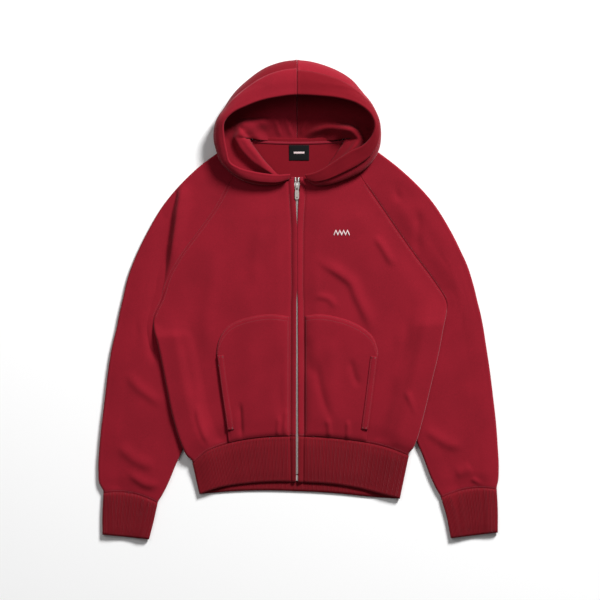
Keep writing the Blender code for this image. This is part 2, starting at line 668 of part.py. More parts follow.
def block(name, low, high, finish_name, collection, bevel=0.0):
    """A box between two corners, with its edges eased."""
    size = np.subtract(high, low) * MM
    centre = np.add(high, low) / 2 * MM
    bpy.ops.mesh.primitive_cube_add(size=1, location=tuple(centre))
    made = bpy.context.object
    made.name = name
    made.scale = tuple(size)
    bpy.ops.object.transform_apply(location=False, rotation=False, scale=True)
    for holder in list(made.users_collection):
        holder.objects.unlink(made)
    collection.objects.link(made)
    made.data.materials.append(finish(finish_name))
    if bevel:
        eased = made.modifiers.new("eased", "BEVEL")
        eased.width = bevel * MM
        eased.segments = 2
    return made


def plate(name, loops, z, thickness, finish_name, collection):
    """A flat outline with holes, extruded about a height z."""
    curve = bpy.data.curves.new(name, "CURVE")
    curve.dimensions = "2D"
    curve.fill_mode = "BOTH"
    curve.extrude = thickness / 2 * MM
    for loop in loops:
        spline = curve.splines.new("POLY")
        spline.points.add(len(loop) - 1)
        for point, (x, y) in zip(spline.points, loop):
            point.co = (x * MM, y * MM, 0, 1)
        spline.use_cyclic_u = True
    shape = bpy.data.objects.new(name + "_outline", curve)
    collection.objects.link(shape)
    shape.location.z = z * MM
    bpy.context.view_layer.update()
    evaluated = shape.evaluated_get(bpy.context.evaluated_depsgraph_get())
    mesh = bpy.data.meshes.new_from_object(evaluated)
    mesh.transform(shape.matrix_world)
    bpy.data.objects.remove(shape)
    piece = add(name, mesh, finish_name, collection)
    weld = piece.modifiers.new("weld", "WELD")
    weld.merge_threshold = 0.00001
    return piece


def unite(piece, other, cutters):
    """Join another solid to a piece and keep that solid as a hidden cutter."""
    for holder in list(other.users_collection):
        holder.objects.unlink(other)
    cutters.objects.link(other)
    other.hide_render = True
    other.display_type = "WIRE"
    join = piece.modifiers.new("join_" + other.name, "BOOLEAN")
    join.operation = "UNION"
    join.object = other


def slider(collection, cutters):
    """The slider: two plates, the post between them and the arch that holds the tab."""
    low, high = SLIDER_Y
    waist, shoulder = SLIDER_HALF
    outline = [(-waist, low), (waist, low), (shoulder, high - 4), (shoulder - 1.5, high),
               (1.0, high - 2), (-1.0, high - 2), (-shoulder + 1.5, high), (-shoulder, high - 4)]
    top_z = SLIDER_Z[1] - SLIDER_PLATE / 2
    low_z = SLIDER_Z[0] + SLIDER_PLATE / 2
    body = plate("zip_slider", [outline], top_z, SLIDER_PLATE, "metal", collection)
    under = plate("slider_under", [outline], low_z, SLIDER_PLATE, "metal", collection)
    post = block("slider_post", (-1.5, high - 7, low_z), (1.5, high - 3, top_z), "metal", collection)
    sides = (-ARCH_HALF, ARCH_HALF)
    profile = np.array([[(x, TAB_AXIS[1] + dy, TAB_AXIS[2] + dz) for x in sides] for dy, dz in ARCH])
    bridge = cloth("slider_arch", profile, SLIDER_PLATE, "metal", collection)
    for other in (under, post, bridge):
        unite(body, other, cutters)
    return body


def pull_tab(collection):
    """The pull tab, hung by its crossbar under the slider's arch and lying down the zip."""
    _, axis_y, axis_z = TAB_AXIS
    end = axis_y - TAB_LENGTH
    upper, reach = TAB_NECK
    neck = axis_y - reach
    outline = [(upper, axis_y + 0.8), (-upper, axis_y + 0.8), (-upper, neck), (-TAB_HALF, neck - 2.5)]
    for step in range(7):
        angle = math.radians(180 + 30 * step)
        outline.append((TAB_HALF * math.cos(angle), end + 3 + 3 * math.sin(angle)))
    outline += [(TAB_HALF, neck - 2.5), (upper, neck)]
    low, high = neck + 1.2, axis_y - 0.8
    window = [(-TAB_WINDOW, low), (TAB_WINDOW, low), (TAB_WINDOW, high), (-TAB_WINDOW, high)]
    hole = []
    for step in range(8):
        angle = math.radians(45 * step)
        hole.append((TAB_HOLE * math.cos(angle), end + 4 + TAB_HOLE * math.sin(angle)))
    tab = plate("zip_pull_tab", [outline, window, hole], axis_z, TAB, "metal", collection)
    tab.data.transform(Matrix.Translation([-value * MM for value in TAB_AXIS]))
    tab.location = tuple(value * MM for value in TAB_AXIS)
    return tab


def build():
    """Make every piece of the hoodie."""
    for old in list(bpy.data.objects):
        bpy.data.objects.remove(old)
    hoodie = bpy.data.collections.new("zip_up_hoodie")
    cutters = bpy.data.collections.new("joined_solids")
    bpy.context.scene.collection.children.link(hoodie)
    bpy.context.scene.collection.children.link(cutters)
    cloth("back_panel", back_grid(), CLOTH, "fleece", hoodie)
    cloth("hem_band", hem_grid(), CLOTH, "rib", hoodie)
    cloth("neck_tape", neck_tape_grid(), TAPE, "tape", hoodie)
    cloth("chest_motif", motif_grid(), TAPE, "thread", hoodie)
    for side in ("right", "left"):
        cloth("front_" + side, front_grid(side), CLOTH, "fleece", hoodie)
        cloth("sleeve_" + side, sleeve_grid(side), CLOTH, "fleece", hoodie)
        cloth("cuff_" + side, cuff_grid(side), CLOTH, "rib", hoodie)
        cloth("hood_" + side, hood_grid(side), CLOTH, "fleece", hoodie)
        cloth("pocket_" + side, pocket_grid(side), CLOTH, "fleece", hoodie)
        cloth("pocket_welt_" + side, welt_grid(side), WELT, "fleece", hoodie)
        cloth("zip_tape_" + side, tape_grid(side), TAPE, "tape", hoodie)
        near, far = sorted(SIGN[side] * out for out in STOP_OUT)
        low, high = (near, STOP_Y[0], STOP_Z[0]), (far, STOP_Y[1], STOP_Z[1])
        block("zip_stop_" + side, low, high, "metal", hoodie, 0.4)
    half = CHAIN_WIDTH / 2
    low, high = CHAIN_Z
    block("zip_chain", (-half, BOX_Y[1], low), (half, SLIDER_Y[0] - SEAM, high), "metal", hoodie)
    block("zip_box", (-half, BOX_Y[0], low), (half, BOX_Y[1] - SEAM, high), "metal", hoodie, 0.5)
    label_z = CLOTH + SEAM
    block("neck_label", (LABEL_AT[0] - LABEL[0] / 2, LABEL_AT[1] - LABEL[1] / 2, label_z),
          (LABEL_AT[0] + LABEL[0] / 2, LABEL_AT[1] + LABEL[1] / 2, label_z + LABEL[2]), "label", hoodie)
    slider(hoodie, cutters)
    pull_tab(hoodie)


build()
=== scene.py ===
"""The looks of a zip up hoodie laid flat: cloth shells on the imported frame, seams, stitches, zip and light.

Sizes are in millimetres and become metres where a mesh is made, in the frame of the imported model.
The tables and plan functions are those of the part, so each shell lies on its own solid.
"""
import math

import bpy
import mathutils
import numpy as np
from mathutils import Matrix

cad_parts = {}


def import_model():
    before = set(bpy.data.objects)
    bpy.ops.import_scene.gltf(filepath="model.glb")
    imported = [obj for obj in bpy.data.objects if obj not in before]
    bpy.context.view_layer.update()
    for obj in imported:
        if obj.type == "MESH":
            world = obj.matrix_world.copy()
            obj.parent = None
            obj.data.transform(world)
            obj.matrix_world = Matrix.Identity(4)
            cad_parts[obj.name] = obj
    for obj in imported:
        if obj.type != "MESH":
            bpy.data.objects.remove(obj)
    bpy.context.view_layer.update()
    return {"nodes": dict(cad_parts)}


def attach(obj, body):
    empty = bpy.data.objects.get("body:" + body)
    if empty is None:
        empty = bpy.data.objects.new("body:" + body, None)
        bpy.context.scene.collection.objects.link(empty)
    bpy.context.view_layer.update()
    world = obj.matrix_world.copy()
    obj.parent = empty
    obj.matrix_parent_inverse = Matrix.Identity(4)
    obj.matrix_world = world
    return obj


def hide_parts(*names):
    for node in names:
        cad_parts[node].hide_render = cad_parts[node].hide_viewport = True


MM = 0.001

# Cloth and how its layers lie
CLOTH = 2.6
HALF = CLOTH / 2
SEAM = 0.3
HEM_GAP = 0.8  # the waistband's turned side leans towards the panels above it
FLAT_DEPTH = CLOTH + 0.8  # back to front, middle to middle, where they lie on each other
FOLD_DEPTH = CLOTH + 3.6  # the same at a folded edge
FOLD_FULL = 10.0  # a sleeve's folded edge stays plump this far in
FOLD_FADE = 40.0  # and lies flat from here
SIDE_FULL = 32.0  # the body's side stays plump, and raised over the sleeve, this far in
SIDE_FADE = 75.0  # and lies flat from here
ZIP_PLUMP = 0.9  # plumpness of the turned edges over the zip, 1 at a folded edge
ZIP_FULL = 2.0
ZIP_FADE = 13.0
NECK_FADE = (180.0, 225.0)  # the layers are held apart by the neck seam above this stretch
SLEEVE_LIFT = 9.4  # the body's sides lie over the sleeves
ROUND_STEPS = (17.0, 52.0, 90.0)

# Zip
TAPE = 0.6
TAPE_Z = (4.35, 3.5)  # middle of the tape at the chain and at its outer edge
SLIDER_Y = (213.0, 227.0)

# Half width of the slit between the fronts: y, half
SLIT = [(-400, 2.4), (-150, 1.8), (-8, 1.2), (0, 0.0), (165, 0.0), (192, 2.9), (213, 5.8), (240, 6.6)]
# Width of a zip tape beside the chain and the slider: y, inner out, outer out
TAPE_EDGE = [(y, 3.3, 10.5) for y in (-355, -250, -150, -50, 50, 150, 205)]
TAPE_EDGE += [(213, 5.9, 11.5), (228, 5.9, 12.0), (237, 4.6, 11.5)]

# Side of the body from the hem seam to the underarm: out, y, y where the row meets the zip and
# how far the row is raised over the sleeve, as a share of SLEEVE_LIFT
BODY = {
    "right": [(203, -320, -268, 0.45), (203.3, -317, -265, 0.46), (214, -306, -255, 0.82),
              (223, -288, -239, 1.0), (239, -240, -198, 1.0), (255, -165, -140, 1.0),
              (267, -105, -94, 1.0), (273, -79, -72, 1.0), (278, -62, -56, 0.5), (280, -46, -42, 0.0)],
    "left": [(217, -305, -268, 0.45), (217.3, -302, -265, 0.46), (226, -291, -255, 0.82),
             (233, -274, -239, 1.0), (246, -228, -198, 1.0), (263, -158, -140, 1.0),
             (277, -98, -94, 1.0), (285, -55, -72, 1.0), (290, -32, -56, 0.5), (292, -10, -42, 0.0)],
}
# Raglan seam from the underarm to the neck: out, y, y where the row meets the zip
RAGLAN = {
    "right": [(280, -46, -42), (262, 0, -10), (248, 42, 20), (226, 82, 55), (197, 121, 92),
              (158, 175, 138), (125, 236, 190), (88, 300, 232)],
    "left": [(292, -10, -42), (276, 20, -10), (260, 43, 20), (233, 79, 55), (204, 120, 92),
             (163, 180, 138), (124, 238, 190), (90, 300, 232)],
}
# Sleeve from the cuff seam to the underarm: inner out, inner y, outer out, outer y
SLEEVE = {
    "right": [(272, -398, 376, -379), (271, -395, 376, -376), (264, -384, 384, -360),
              (254, -365, 386, -336), (236, -322, 384, -290), (220, -285, 380, -248),
              (218, -225, 374, -200), (228, -165, 368, -148), (242, -122, 362, -108),
              (265, -92, 356, -80), (277, -74, 351, -60), (280, -46, 346, -34)],
    "left": [(281, -388, 388, -372), (280, -385, 388, -369), (272, -371, 391, -354),
             (262, -350, 392, -332), (246, -308, 390, -288), (230, -268, 387, -246),
             (224, -212, 381, -192), (236, -146, 374, -136), (254, -98, 367, -90),
             (277, -64, 361, -52), (289, -44, 357, -32), (292, -10, 350, -4)],
}
# Outer fold of the sleeve from underarm level over the shoulder to the neck: out, y
SHOULDER = {
    "right": [(346, -34), (338, 0), (328, 42), (313, 82), (293, 124), (256, 186), (199, 248), (103, 318)],
    "left": [(350, -4), (343, 25), (333, 58), (318, 92), (299, 130), (260, 191), (204, 248), (112, 317)],
}
# Cuff: inner out, inner y, outer out, outer y at its seam and at its end
CUFF = {
    "right": [(272, -398, 376, -379), (280, -434, 378, -420), (289, -469, 378, -460)],
    "left": [(281, -388, 388, -372), (292, -426, 390, -412), (300, -467, 390, -456)],
}
HEM_SHARES = (0.0, 0.35, 0.7, 1.0)
CUFF_ARCH = 9.0  # the cuff seam bows this far up the sleeve

# Neck edge of the fronts, from the zip to the raglan seam: out, y
NECKLINE = {
    "right": [(6, 232), (22, 234), (40, 242), (58, 260), (74, 281), (88, 300)],
    "left": [(6, 232), (24, 234), (44, 243), (60, 257), (75, 277), (90, 300)],
}
# Hem seam from the side to the zip: out, y
HEM_SEAM = {
    "right": [(203, -320), (179, -299), (154, -288), (107, -276), (60, -270), (2, -268)],
    "left": [(217, -305), (183, -292), (138, -281), (103, -276), (60, -271), (2, -268)],
}
# Lower edge of the waistband in front: out, y
HEM_FRONT = {
    "right": [(189, -381), (154, -369), (100, -361), (25, -357), (2, -358)],
    "left": [(199, -390), (170, -383), (123, -371), (60, -361), (2, -358)],
}
# Hem seam of the back, from the side to the middle: out, y
HEM_SEAM_BACK = {
    "right": [(203, -320), (179, -299), (154, -289), (107, -284), (60, -283), (0, -284)],
    "left": [(217, -305), (183, -293), (138, -286), (103, -284), (60, -283), (0, -284)],
}
# Lower edge of the waistband at the back, from the side to the middle: out, y
HEM_BACK = {
    "right": [(189, -381), (130, -376), (60, -374), (0, -375.5)],
    "left": [(199, -390), (150, -387), (90, -381), (40, -377), (0, -375.5)],
}

BACK_NECK_Y = 306.0
BACK_NECK_RISE = 3.0  # the back neck seam is this much higher at the shoulders
BACK_NECK_OUT = {"right": 86.0, "left": 88.0}

# Hood, from the zip round the mouth to the centre seam. The rim is the hemmed edge of the mouth,
# the edge is the outermost line of the hood and the neck is its seam to the body:
# rim out, y, z, edge out, y, z, neck out, y, height of the fold inside
HOOD = {
    "right": [(14, 240, 20, 19, 231, 14, 13, 234, 0), (37, 238, 23, 38, 223, 14, 38, 242, 1),
              (60, 240, 26, 61, 222, 15, 51, 254, 4), (85, 244, 29, 86, 225, 16, 64, 268, 8),
              (113, 252, 33, 119, 239, 17, 76, 284, 11), (131, 264, 36, 146, 264, 18, 87, 299, 13),
              (138, 288, 40, 157, 292, 18, 97, 310, 12), (143, 318, 43, 161, 319, 17, 97, 317, 10),
              (142, 342, 45, 156, 346, 16, 84, 316, 9), (123, 362, 47, 140, 371, 15, 69, 308, 9),
              (101, 373, 49, 124, 396, 14, 53, 307, 8), (73, 384, 50, 98, 422, 14, 36, 306.5, 6),
              (37, 392, 51, 55, 451, 14, 18, 306, 6), (0, 396, 52, 0, 463, 14, 0, 306, 3)],
    "left": [(17, 239, 20, 22, 229, 14, 14, 234, 0), (30, 241, 23, 36, 222, 14, 38, 241, 1),
             (46, 247, 26, 56, 222, 15, 52, 250, 2), (68, 260, 29, 77, 227, 17, 64, 263, 4),
             (88, 273, 33, 101, 236, 18, 76, 280, 7), (108, 285, 36, 128, 250, 19, 87, 297, 10),
             (130, 296, 40, 151, 275, 18, 99, 309, 12), (148, 318, 43, 162, 310, 17, 102, 317, 12),
             (151, 337, 45, 160, 343, 16, 87, 316, 12), (143, 357, 47, 148, 372, 15, 71, 308, 12),
             (118, 378, 49, 128, 399, 14, 54, 307, 11), (84, 389, 50, 103, 427, 14, 36, 306.5, 9),
             (43, 394, 51, 58, 451, 14, 18, 306, 6), (0, 396, 52, 0, 463, 14, 0, 306, 3)],
}
HOOD_CENTRE_GAP = 0.35  # each half stays this far from the centre seam
ROLL = 14.0  # reach of the rounding under the hood's outer edge
HOOD_OVERHANG = (16.0, 38.0)  # past the shoulders the hood sinks to the table over this stretch
SWELL_AT = 0.66  # place of the fold inside, from the rolled edge to the neck seam

# Pockets, corner at the hem seam by the zip first: out, y
POCKET_TOP = {
    "right": [(16, -35), (51, -31), (86, -35), (111, -42), (131, -52), (145, -68), (153, -86), (156, -106)],
    "left": [(16, -34), (41, -31), (72, -35), (105, -45), (132, -60), (147, -74), (154, -90), (157, -108)],
}
POCKET_SIDE = {
    "right": [(133, -279), (138, -238), (146, -185), (152, -140), (156, -106)],
    "left": [(135, -279), (142, -228), (148, -182), (153, -140), (157, -108)],
}
POCKET_IN = 16.0
WELT_WIDTH = 13.0
WELT_SPAN = (0.14, 0.97)  # of the pocket's slanted side
WELT = 1.6

LABEL = (39.0, 30.0, 0.6)
LABEL_AT = (4.0, 284.0)
NECK_TAPE_WIDTH = 4.5
MOTIF_AT = (87.0, 128.0)
MOTIF_PEAKS = 4
MOTIF_WIDTH = 30.0
MOTIF_HEIGHT = 8.0
MOTIF_STROKE = 4.5

SIGN = {"right": -1.0, "left": 1.0}

# Looks
LOFT = 3.0  # the top layers puff up this far between their seams
SEAM_DIP = 1.1  # and turn down into a seam by this much
NECK_ALLOWANCE = 7.0  # the back runs on under the hood this far past its neck seam
DIP_REACH = 3.5
STITCH = (2.7, 3.5, 0.62)  # length, pitch and width

# Creases of the fronts: height (a trough is negative), width to the left of the path and to its
# right, and the path
FRONT_CREASES = [
    (4.4, 13, 8, (33, 83), (56, 65), (83, 48), (105, 30), (117, 3), (131, -26), (142, -52), (152, -81)),
    (3.1, 9, 7, (150, 126), (176, 85), (189, 59)),
    (2.2, 7, 6, (31, 5), (62, -1), (78, -22)),
    (-2.5, 8, 8, (36, -110), (47, -182), (60, -221), (76, -249)),
    (-2.2, 7, 7, (103, -114), (111, -149), (121, -176)),
    (2.4, 5, 5, (58, -230), (62, -250), (64, -274)),
    (2.4, 5, 4, (98, -234), (99, -256), (98, -278)),
    (3.4, 7, 5, (211, -176), (226, -212), (236, -233)),
    (3.7, 7, 5, (-196, -200), (-191, -235), (-179, -270), (-167, -292)),
    (-3.4, 4, 6, (-111, -198), (-109, -237), (-108, -276)),
    (2.4, 5, 4, (-20, -210), (-23, -241), (-25, -268)),
    (1.9, 4, 4, (-35, -226), (-37, -251), (-37, -272)),
    (-2.4, 10, 12, (-28, -90), (-34, -170), (-28, -252)),
    (-2.2, 9, 12, (24, -70), (22, -120), (34, -160)),
    (2.4, 16, 14, (-150, 100), (-165, 30), (-176, -60), (-170, -130)),
    (-2.2, 12, 14, (-230, -60), (-215, -130), (-205, -200)),
    (2.2, 13, 12, (205, -40), (200, -110), (186, -190)),
    (1.8, 12, 12, (-60, 150), (-80, 90), (-84, 20)),
    (2.4, 26, 24, (-92, -50), (-90, -120), (-92, -200), (-96, -258)),
    (1.8, 14, 16, (66, -70), (68, -140), (62, -210)),
]
# Creases of the sleeves, the same way
SLEEVE_CREASES = [
    (7.5, 15, 4.6, (-205, 276), (-221, 230), (-229, 189), (-237, 131), (-245, 74), (-252, 30)),
    (-6.5, 5.5, 22, (-214, 276), (-232, 228), (-241, 186), (-249, 128), (-257, 76), (-265, 22),
     (-278, -22), (-286, -52)),
    (-8.5, 5, 11, (-262, 24), (-275, -22), (-284, -58), (-281, -92), (-273, -132)),
    (2.6, 11, 9, (-332, -139), (-314, -169), (-287, -190), (-259, -212)),
    (3.2, 13, 10, (-351, -280), (-332, -301), (-302, -321), (-271, -327)),
    (2.6, 10, 7, (-330, -334), (-311, -353), (-287, -364), (-265, -358)),
    (-2.4, 8, 8, (197, 247), (193, 215), (201, 184)),
    (-2.4, 9, 9, (234, 178), (236, 134), (234, 85)),
    (2.9, 12, 9, (245, -249), (263, -264), (296, -284), (330, -289)),
    (2.2, 5, 5, (338, -348), (351, -358), (363, -366)),
    (2.2, 11, 9, (306, -342), (324, -336), (341, -327)),
]
PLEAT_DEPTH = 3.0  # how far the pleat may press into the sleeve
UNDERARM_TUCK = (7.0, 24.0, 17.0)  # the sleeve runs in under the body: how far, how low, and how long
# Creases of the side that lies on the table: hollows under the cloth
BACK_CREASES = [
    (1.8, 9, 6, (-150, 90), (-110, 40), (-92, -30), (-88, -90)),
    (1.6, 7, 9, (60, 120), (96, 60), (140, 10)),
    (1.4, 7, 7, (-40, -120), (-52, -190), (-48, -250)),
    (1.5, 6, 8, (120, -130), (112, -190), (130, -252)),
    (1.6, 8, 6, (-340, -120), (-310, -160), (-275, -176)),
    (1.6, 8, 6, (262, -200), (300, -226), (340, -232)),
]
# Folds of the cloth inside the hood, the same way
HOOD_FOLDS = [
    (10.0, 5, 11, (-124, 343), (-96, 303), (-68, 270), (-42, 236)),
    (9.5, 6, 12, (-124, 328), (-108, 339), (-82, 343), (-46, 345)),
    (11.0, 5, 9, (10, 309), (30, 325), (48, 332), (90, 331), (113, 326), (127, 307)),
    (7.0, 14, 4.5, (122, 314), (104, 285), (82, 264), (62, 248), (22, 236)),
    (3.0, 3, 6, (-21, 356), (-15, 334), (-8, 314)),
    (2.6, 3, 6, (-44, 354), (-37, 334), (-31, 314)),
    (2.2, 6, 3, (20, 352), (12, 334), (6, 316)),
]
# Creases over the crown of the hood, the same way
CROWN_CREASES = [
    (1.0, 4, 9, (-128, 380), (-101, 401), (-78, 411), (-46, 411)),
    (0.9, 4, 9, (54, 408), (96, 403), (116, 400), (137, 391)),
    (0.7, 4, 8, (64, 417), (103, 415), (129, 404)),
]
LABEL_BAR = (20.0, 5.0)  # plain bar across the label
RIM_HEM = 22.0  # width of the hem round the hood's mouth
RIM_LAYER = 3.2  # from the middle of the hem's outer layer to its inner one
RIM_PUFF = 0.8
RIM_TILT = 5.0  # the rim stands up by this much over the crown
PLACKET = 10.7  # stitches beside the zip are this far from the edge
PLACKET_GROOVE = (1.9, 2.3)  # depth and width of the groove that they draw in
PIPING = 1.4  # the hem seam stands up by this much
BACK_SEAM_DROP = 4.3  # the hood comes down to its seam with the back
RIB_PITCH = 2.9
RIB_HEIGHT = 0.28
RIM_GROOVE = (0.4, 2.4)  # depth and width of the groove along the rim's hem
TILT_OVER = (300.0, 380.0)  # stretch over which the rim comes to its full tilt
SEAM_FADE = (200, 225)  # the raglan seam's dip fades out over this stretch
BACK_DIP = 0.8
HEM_PUFF = 1.5
CUFF_PUFF = 1.2
POCKET_PUFF = 1.1
TOPSTITCH = 3.2  # stitches are this far from most seams
# Steps between the points of the fine grids, along and across
FRONT_GRID = (2.6, 2.6)
BACK_GRID = (5, 5)
SLEEVE_GRID = (2.4, 1.9)
HOOD_GRID = (2.8, 2.6)
POCKET_GRID = (2.4, 2.4)
WELT_GRID = (2.4, 1.2)
RIB_GRID = (6, 0.6)

TEETH_PITCH = 2.5  # on each side of the zip
TOOTH = (3.7, 1.25, 2.5)  # reach across, length along and height
TEETH_Z = 5.2
TEETH_Y = (-344 + TEETH_PITCH, 229.0)
UNDER_HOOD = 225  # the raglan seams run in under the hood here
FAR = 99  # no zip near

# Linear colours
FLEECE = (0.220, 0.0062, 0.0158)
# darker copy of the fleece colour: painted shade for the inside of the hood and for the back seen within it
FLEECE_INSIDE_PAINTED_SHADE = (0.160, 0.0029, 0.0088)
RIB = (0.155, 0.0040, 0.0095)
TAPE_COLOUR = (0.20, 0.008, 0.019)
THREAD = (0.19, 0.009, 0.018)
BLACK = (0.006, 0.006, 0.0065)
PALE = (0.80, 0.62, 0.62)
# Linear colour, roughness and metallic
METALS = {
    "nickel": ((0.90, 0.86, 0.83), 0.36, 0.7),
    "nickel_teeth": ((0.62, 0.58, 0.56), 0.4, 0.85),
    "brushed_nickel": ((0.60, 0.53, 0.49), 0.45, 0.8),
}

# Light, floor and camera, in metres
WORLD_LIGHT = 0.14
LIGHTS = [
    ("key", (2.5, 3.8, 3.1), 1.6, 510),
    ("fill", (-1.6, 1.2, 2.9), 2.0, 20),
]
FLOOR_SHADE = 0.94
FLOOR_HALF = 6.0
FLOOR_Z = -0.0006  # just under the cloth
CAMERA_LENS = 200.0
CAMERA_SENSOR = 36.0
VIEW_WIDTH = 1.17
VIEW_CENTRE = (0.00585, -0.0029)


def steps(points):
    """Lengths of the steps between points."""
    return np.linalg.norm(np.diff(points, axis=0), axis=1)


def running(sizes):
    """Running total of sizes, from 0."""
    return np.concatenate([[0.0], np.cumsum(sizes)])


def bell(value, middle, width):
    """A hump, 1 at its middle."""
    return np.exp(-((np.asarray(value) - middle) / width) ** 2)


def hermite(s, length, first, last, slope_first, slope_last):
    """Points at shares s between two rows, on the smooth curve with their slopes."""
    start = (2 * s**3 - 3 * s**2 + 1) * first + (s**3 - 2 * s**2 + s) * length * slope_first
    end = (3 * s**2 - 2 * s**3) * last + (s**3 - s**2) * length * slope_last
    return start + end


def along(rows, t):
    """Points on the smooth curve through the rows; t counts rows, and whole numbers hit them."""
    rows = np.array(rows, float)
    step = steps(rows[:, :2])
    slopes = np.gradient(rows, running(step), axis=0)
    t = np.atleast_1d(np.asarray(t, float))
    k = np.clip(np.floor(t).astype(int), 0, len(rows) - 2)
    return hermite((t - k)[:, None], step[k][:, None], rows[k], rows[k + 1], slopes[k], slopes[k + 1])


def even(rows, share):
    """Points on the curve at even shares of its length, 0 at the first row and 1 at the last."""
    fine = along(rows, np.linspace(0, len(rows) - 1, 40 * len(rows)))
    reach = running(steps(fine[:, :2]))
    return np.stack([np.interp(np.asarray(share) * reach[-1], reach, column) for column in fine.T], 1)


def ease(value, low, high):
    """0 up to low, 1 from high, and a soft step between."""
    s = np.clip((np.asarray(value, float) - low) / (high - low), 0, 1)
    return s * s * (3 - 2 * s)


def normals(points):
    """Unit vectors in plan, to the left of the curve's own direction."""
    run = np.gradient(points[:, :2], axis=0)
    run /= np.linalg.norm(run, axis=1)[:, None]
    return np.stack([-run[:, 1], run[:, 0]], 1)


def slit(y):
    """Half the gap between the fronts at a height y."""
    ys, halves = zip(*SLIT)
    return np.interp(y, ys, halves)


def fade(distance, full, none):
    """1 up to a distance, 0 from another, and a straight slope between."""
    return 1 - np.clip((np.asarray(distance, float) - full) / (none - full), 0, 1)


def plump_at_zip(distance):
    """Plumpness of the turned front edge over the zip."""
    return ZIP_PLUMP * fade(distance, ZIP_FULL, ZIP_FADE)


def depth(plump):
    """Distance from the middle of the back layer to the middle of the front one."""
    return FLAT_DEPTH + (FOLD_DEPTH - FLAT_DEPTH) * plump


def openness(row):
    """1 at the underarm, where the side folds, fading to 0 along the raglan seam."""
    return fade(row, 0, 1.6) ** 2


def seam_shift(fold):
    """Half the space between two cloths at their seam, pressed together where they turn into a fold."""
    return SEAM / 2 + 0.3 * HALF * np.sqrt(fold)


def raglan(side, layer):
    """Raglan seam of a layer: plan points, unit vectors to the body's side of it, and its fold."""
    rows = list(RAGLAN[side])
    if layer == "back":
        out = BACK_NECK_OUT[side]
        rows[-1] = (out, back_neck(out), rows[-1][2])
    count = np.arange(len(rows))
    line = along(rows, count)
    return line, normals(line), openness(count)


def side_line(side, layer):
    """Edge of the body below and above the underarm: plan, y at the zip, fold and raised share."""
    below = along(BODY[side], np.arange(len(BODY[side])))
    above, inward, fold = raglan(side, layer)
    low = below[:, :2] - (seam_shift(1.0), 0)
    high = above[:, :2] + inward * seam_shift(fold)[:, None]
    high[0] = low[-1]
    edge = np.concatenate([low[:-1], high])
    zip_y = np.concatenate([below[:-1, 2], above[:, 2]])
    folds = np.concatenate([np.ones(len(low) - 1), fold])
    raised = np.concatenate([below[:-1, 3], np.zeros(len(above))])
    return edge, zip_y, folds, raised


def coons(bottom, top, start, end, across, up):
    """Plan points of a patch between four edges: across runs start to end, up bottom to top."""
    u = across[:, :, None]
    v = up[:, None, None]
    corners = ((1 - u) * (1 - v) * start[0] + u * (1 - v) * end[0]
               + (1 - u) * v * start[-1] + u * v * end[-1])
    sides = (1 - u) * start[:, None, :] + u * end[:, None, :]
    return (1 - v) * bottom + v * top + sides - corners


def row_shares(edge):
    """Share of the way up a patch for each of its rows, by length."""
    reach = running(steps(edge))
    return reach / reach[-1]


def side_columns(length, centre):
    """Distances from the side where a row of the body has its points, and their turn in the fold."""
    radius = FOLD_DEPTH / 2
    turns = [math.radians(step) for step in ROUND_STEPS]
    places = [radius * (1 - math.cos(turn)) for turn in turns]
    wide = min(1.0, 0.45 * length / SIDE_FADE)
    places += [wide * place for place in (FOLD_FULL, SIDE_FULL, (SIDE_FULL + SIDE_FADE) / 2, SIDE_FADE)]
    last = length - ZIP_FADE
    places += [(places[-1] + last) / 2]
    places += [length] if centre else [last, length - ZIP_FULL, length]
    turns += [math.pi / 2] * (len(places) - len(turns))
    return places, turns


def body_plan(side, layer):
    """Plan of half the body in a layer, with each point's distances, turn, fold and raised share."""
    edge, zip_y, fold, raised = side_line(side, layer)
    armpit = len(BODY[side]) - 1
    opening = np.stack([slit(zip_y), zip_y], 1)
    length = np.linalg.norm(opening - edge, axis=1)
    columns = [side_columns(size, layer == "back") for size in length]
    places = np.array([column[0] for column in columns])
    turns = np.array([column[1] for column in columns])
    across = places / length[:, None]
    low, high = slice(0, armpit + 1), slice(armpit, None)
    up_low, up_high = row_shares(edge[low]), row_shares(edge[high])
    if layer == "back":
        opening[:, 0] = 0
        opening[low, 1] += (1 - up_low) * (HEM_SEAM_BACK[side][-1][1] - zip_y[0])
        opening[high, 1] += up_high * (BACK_NECK_Y - zip_y[-1])
        neck = [(x, back_neck(x)) for x in np.linspace(edge[-1, 0], 0, 5)]
        hem = pinned(HEM_SEAM_BACK[side], edge[0], opening[0])
    else:
        neck = pinned(NECKLINE[side][::-1], edge[-1], opening[-1])
        hem = pinned(HEM_SEAM[side], edge[0], opening[0])
    bottom = np.stack([even(hem, row) for row in across[low]])
    chest = edge[armpit] + (opening[armpit] - edge[armpit]) * across[..., None]
    top = np.stack([even(neck, row) for row in across[high]])
    lower = coons(bottom, chest[low], edge[low], opening[low], across[low], up_low)
    upper = coons(chest[high], top, edge[high], opening[high], across[high], up_high)
    plan = np.concatenate([lower, upper[1:]])
    plan[0, :, 1] += SEAM / 2
    return plan, places, length[:, None] - places, turns, fold[:, None], raised[:, None]


def pinned(rows, start, end):
    """The rows of an outline with its two ends moved onto the corners of the piece."""
    rows = [tuple(row[:2]) for row in rows]
    return [tuple(start)] + rows[1:-1] + [tuple(end)]


def side_rise(from_side, raised):
    """Height of the underside of the body where it lies over a sleeve."""
    return SLEEVE_LIFT * raised * fade(from_side, SIDE_FULL, SIDE_FADE)


def front_height(y, from_side, from_zip, turns, fold, raised):
    """Height of the middle of the front layer over its plan."""
    neck = ease(y, *NECK_FADE)
    side = fold * fade(from_side, SIDE_FULL, SIDE_FADE)
    plump = np.maximum(side, np.maximum(plump_at_zip(from_zip), neck))
    rise = 1 + (1 - fold) + fold * np.sin(turns)
    return HALF + side_rise(from_side, raised) + depth(plump) / 2 * rise


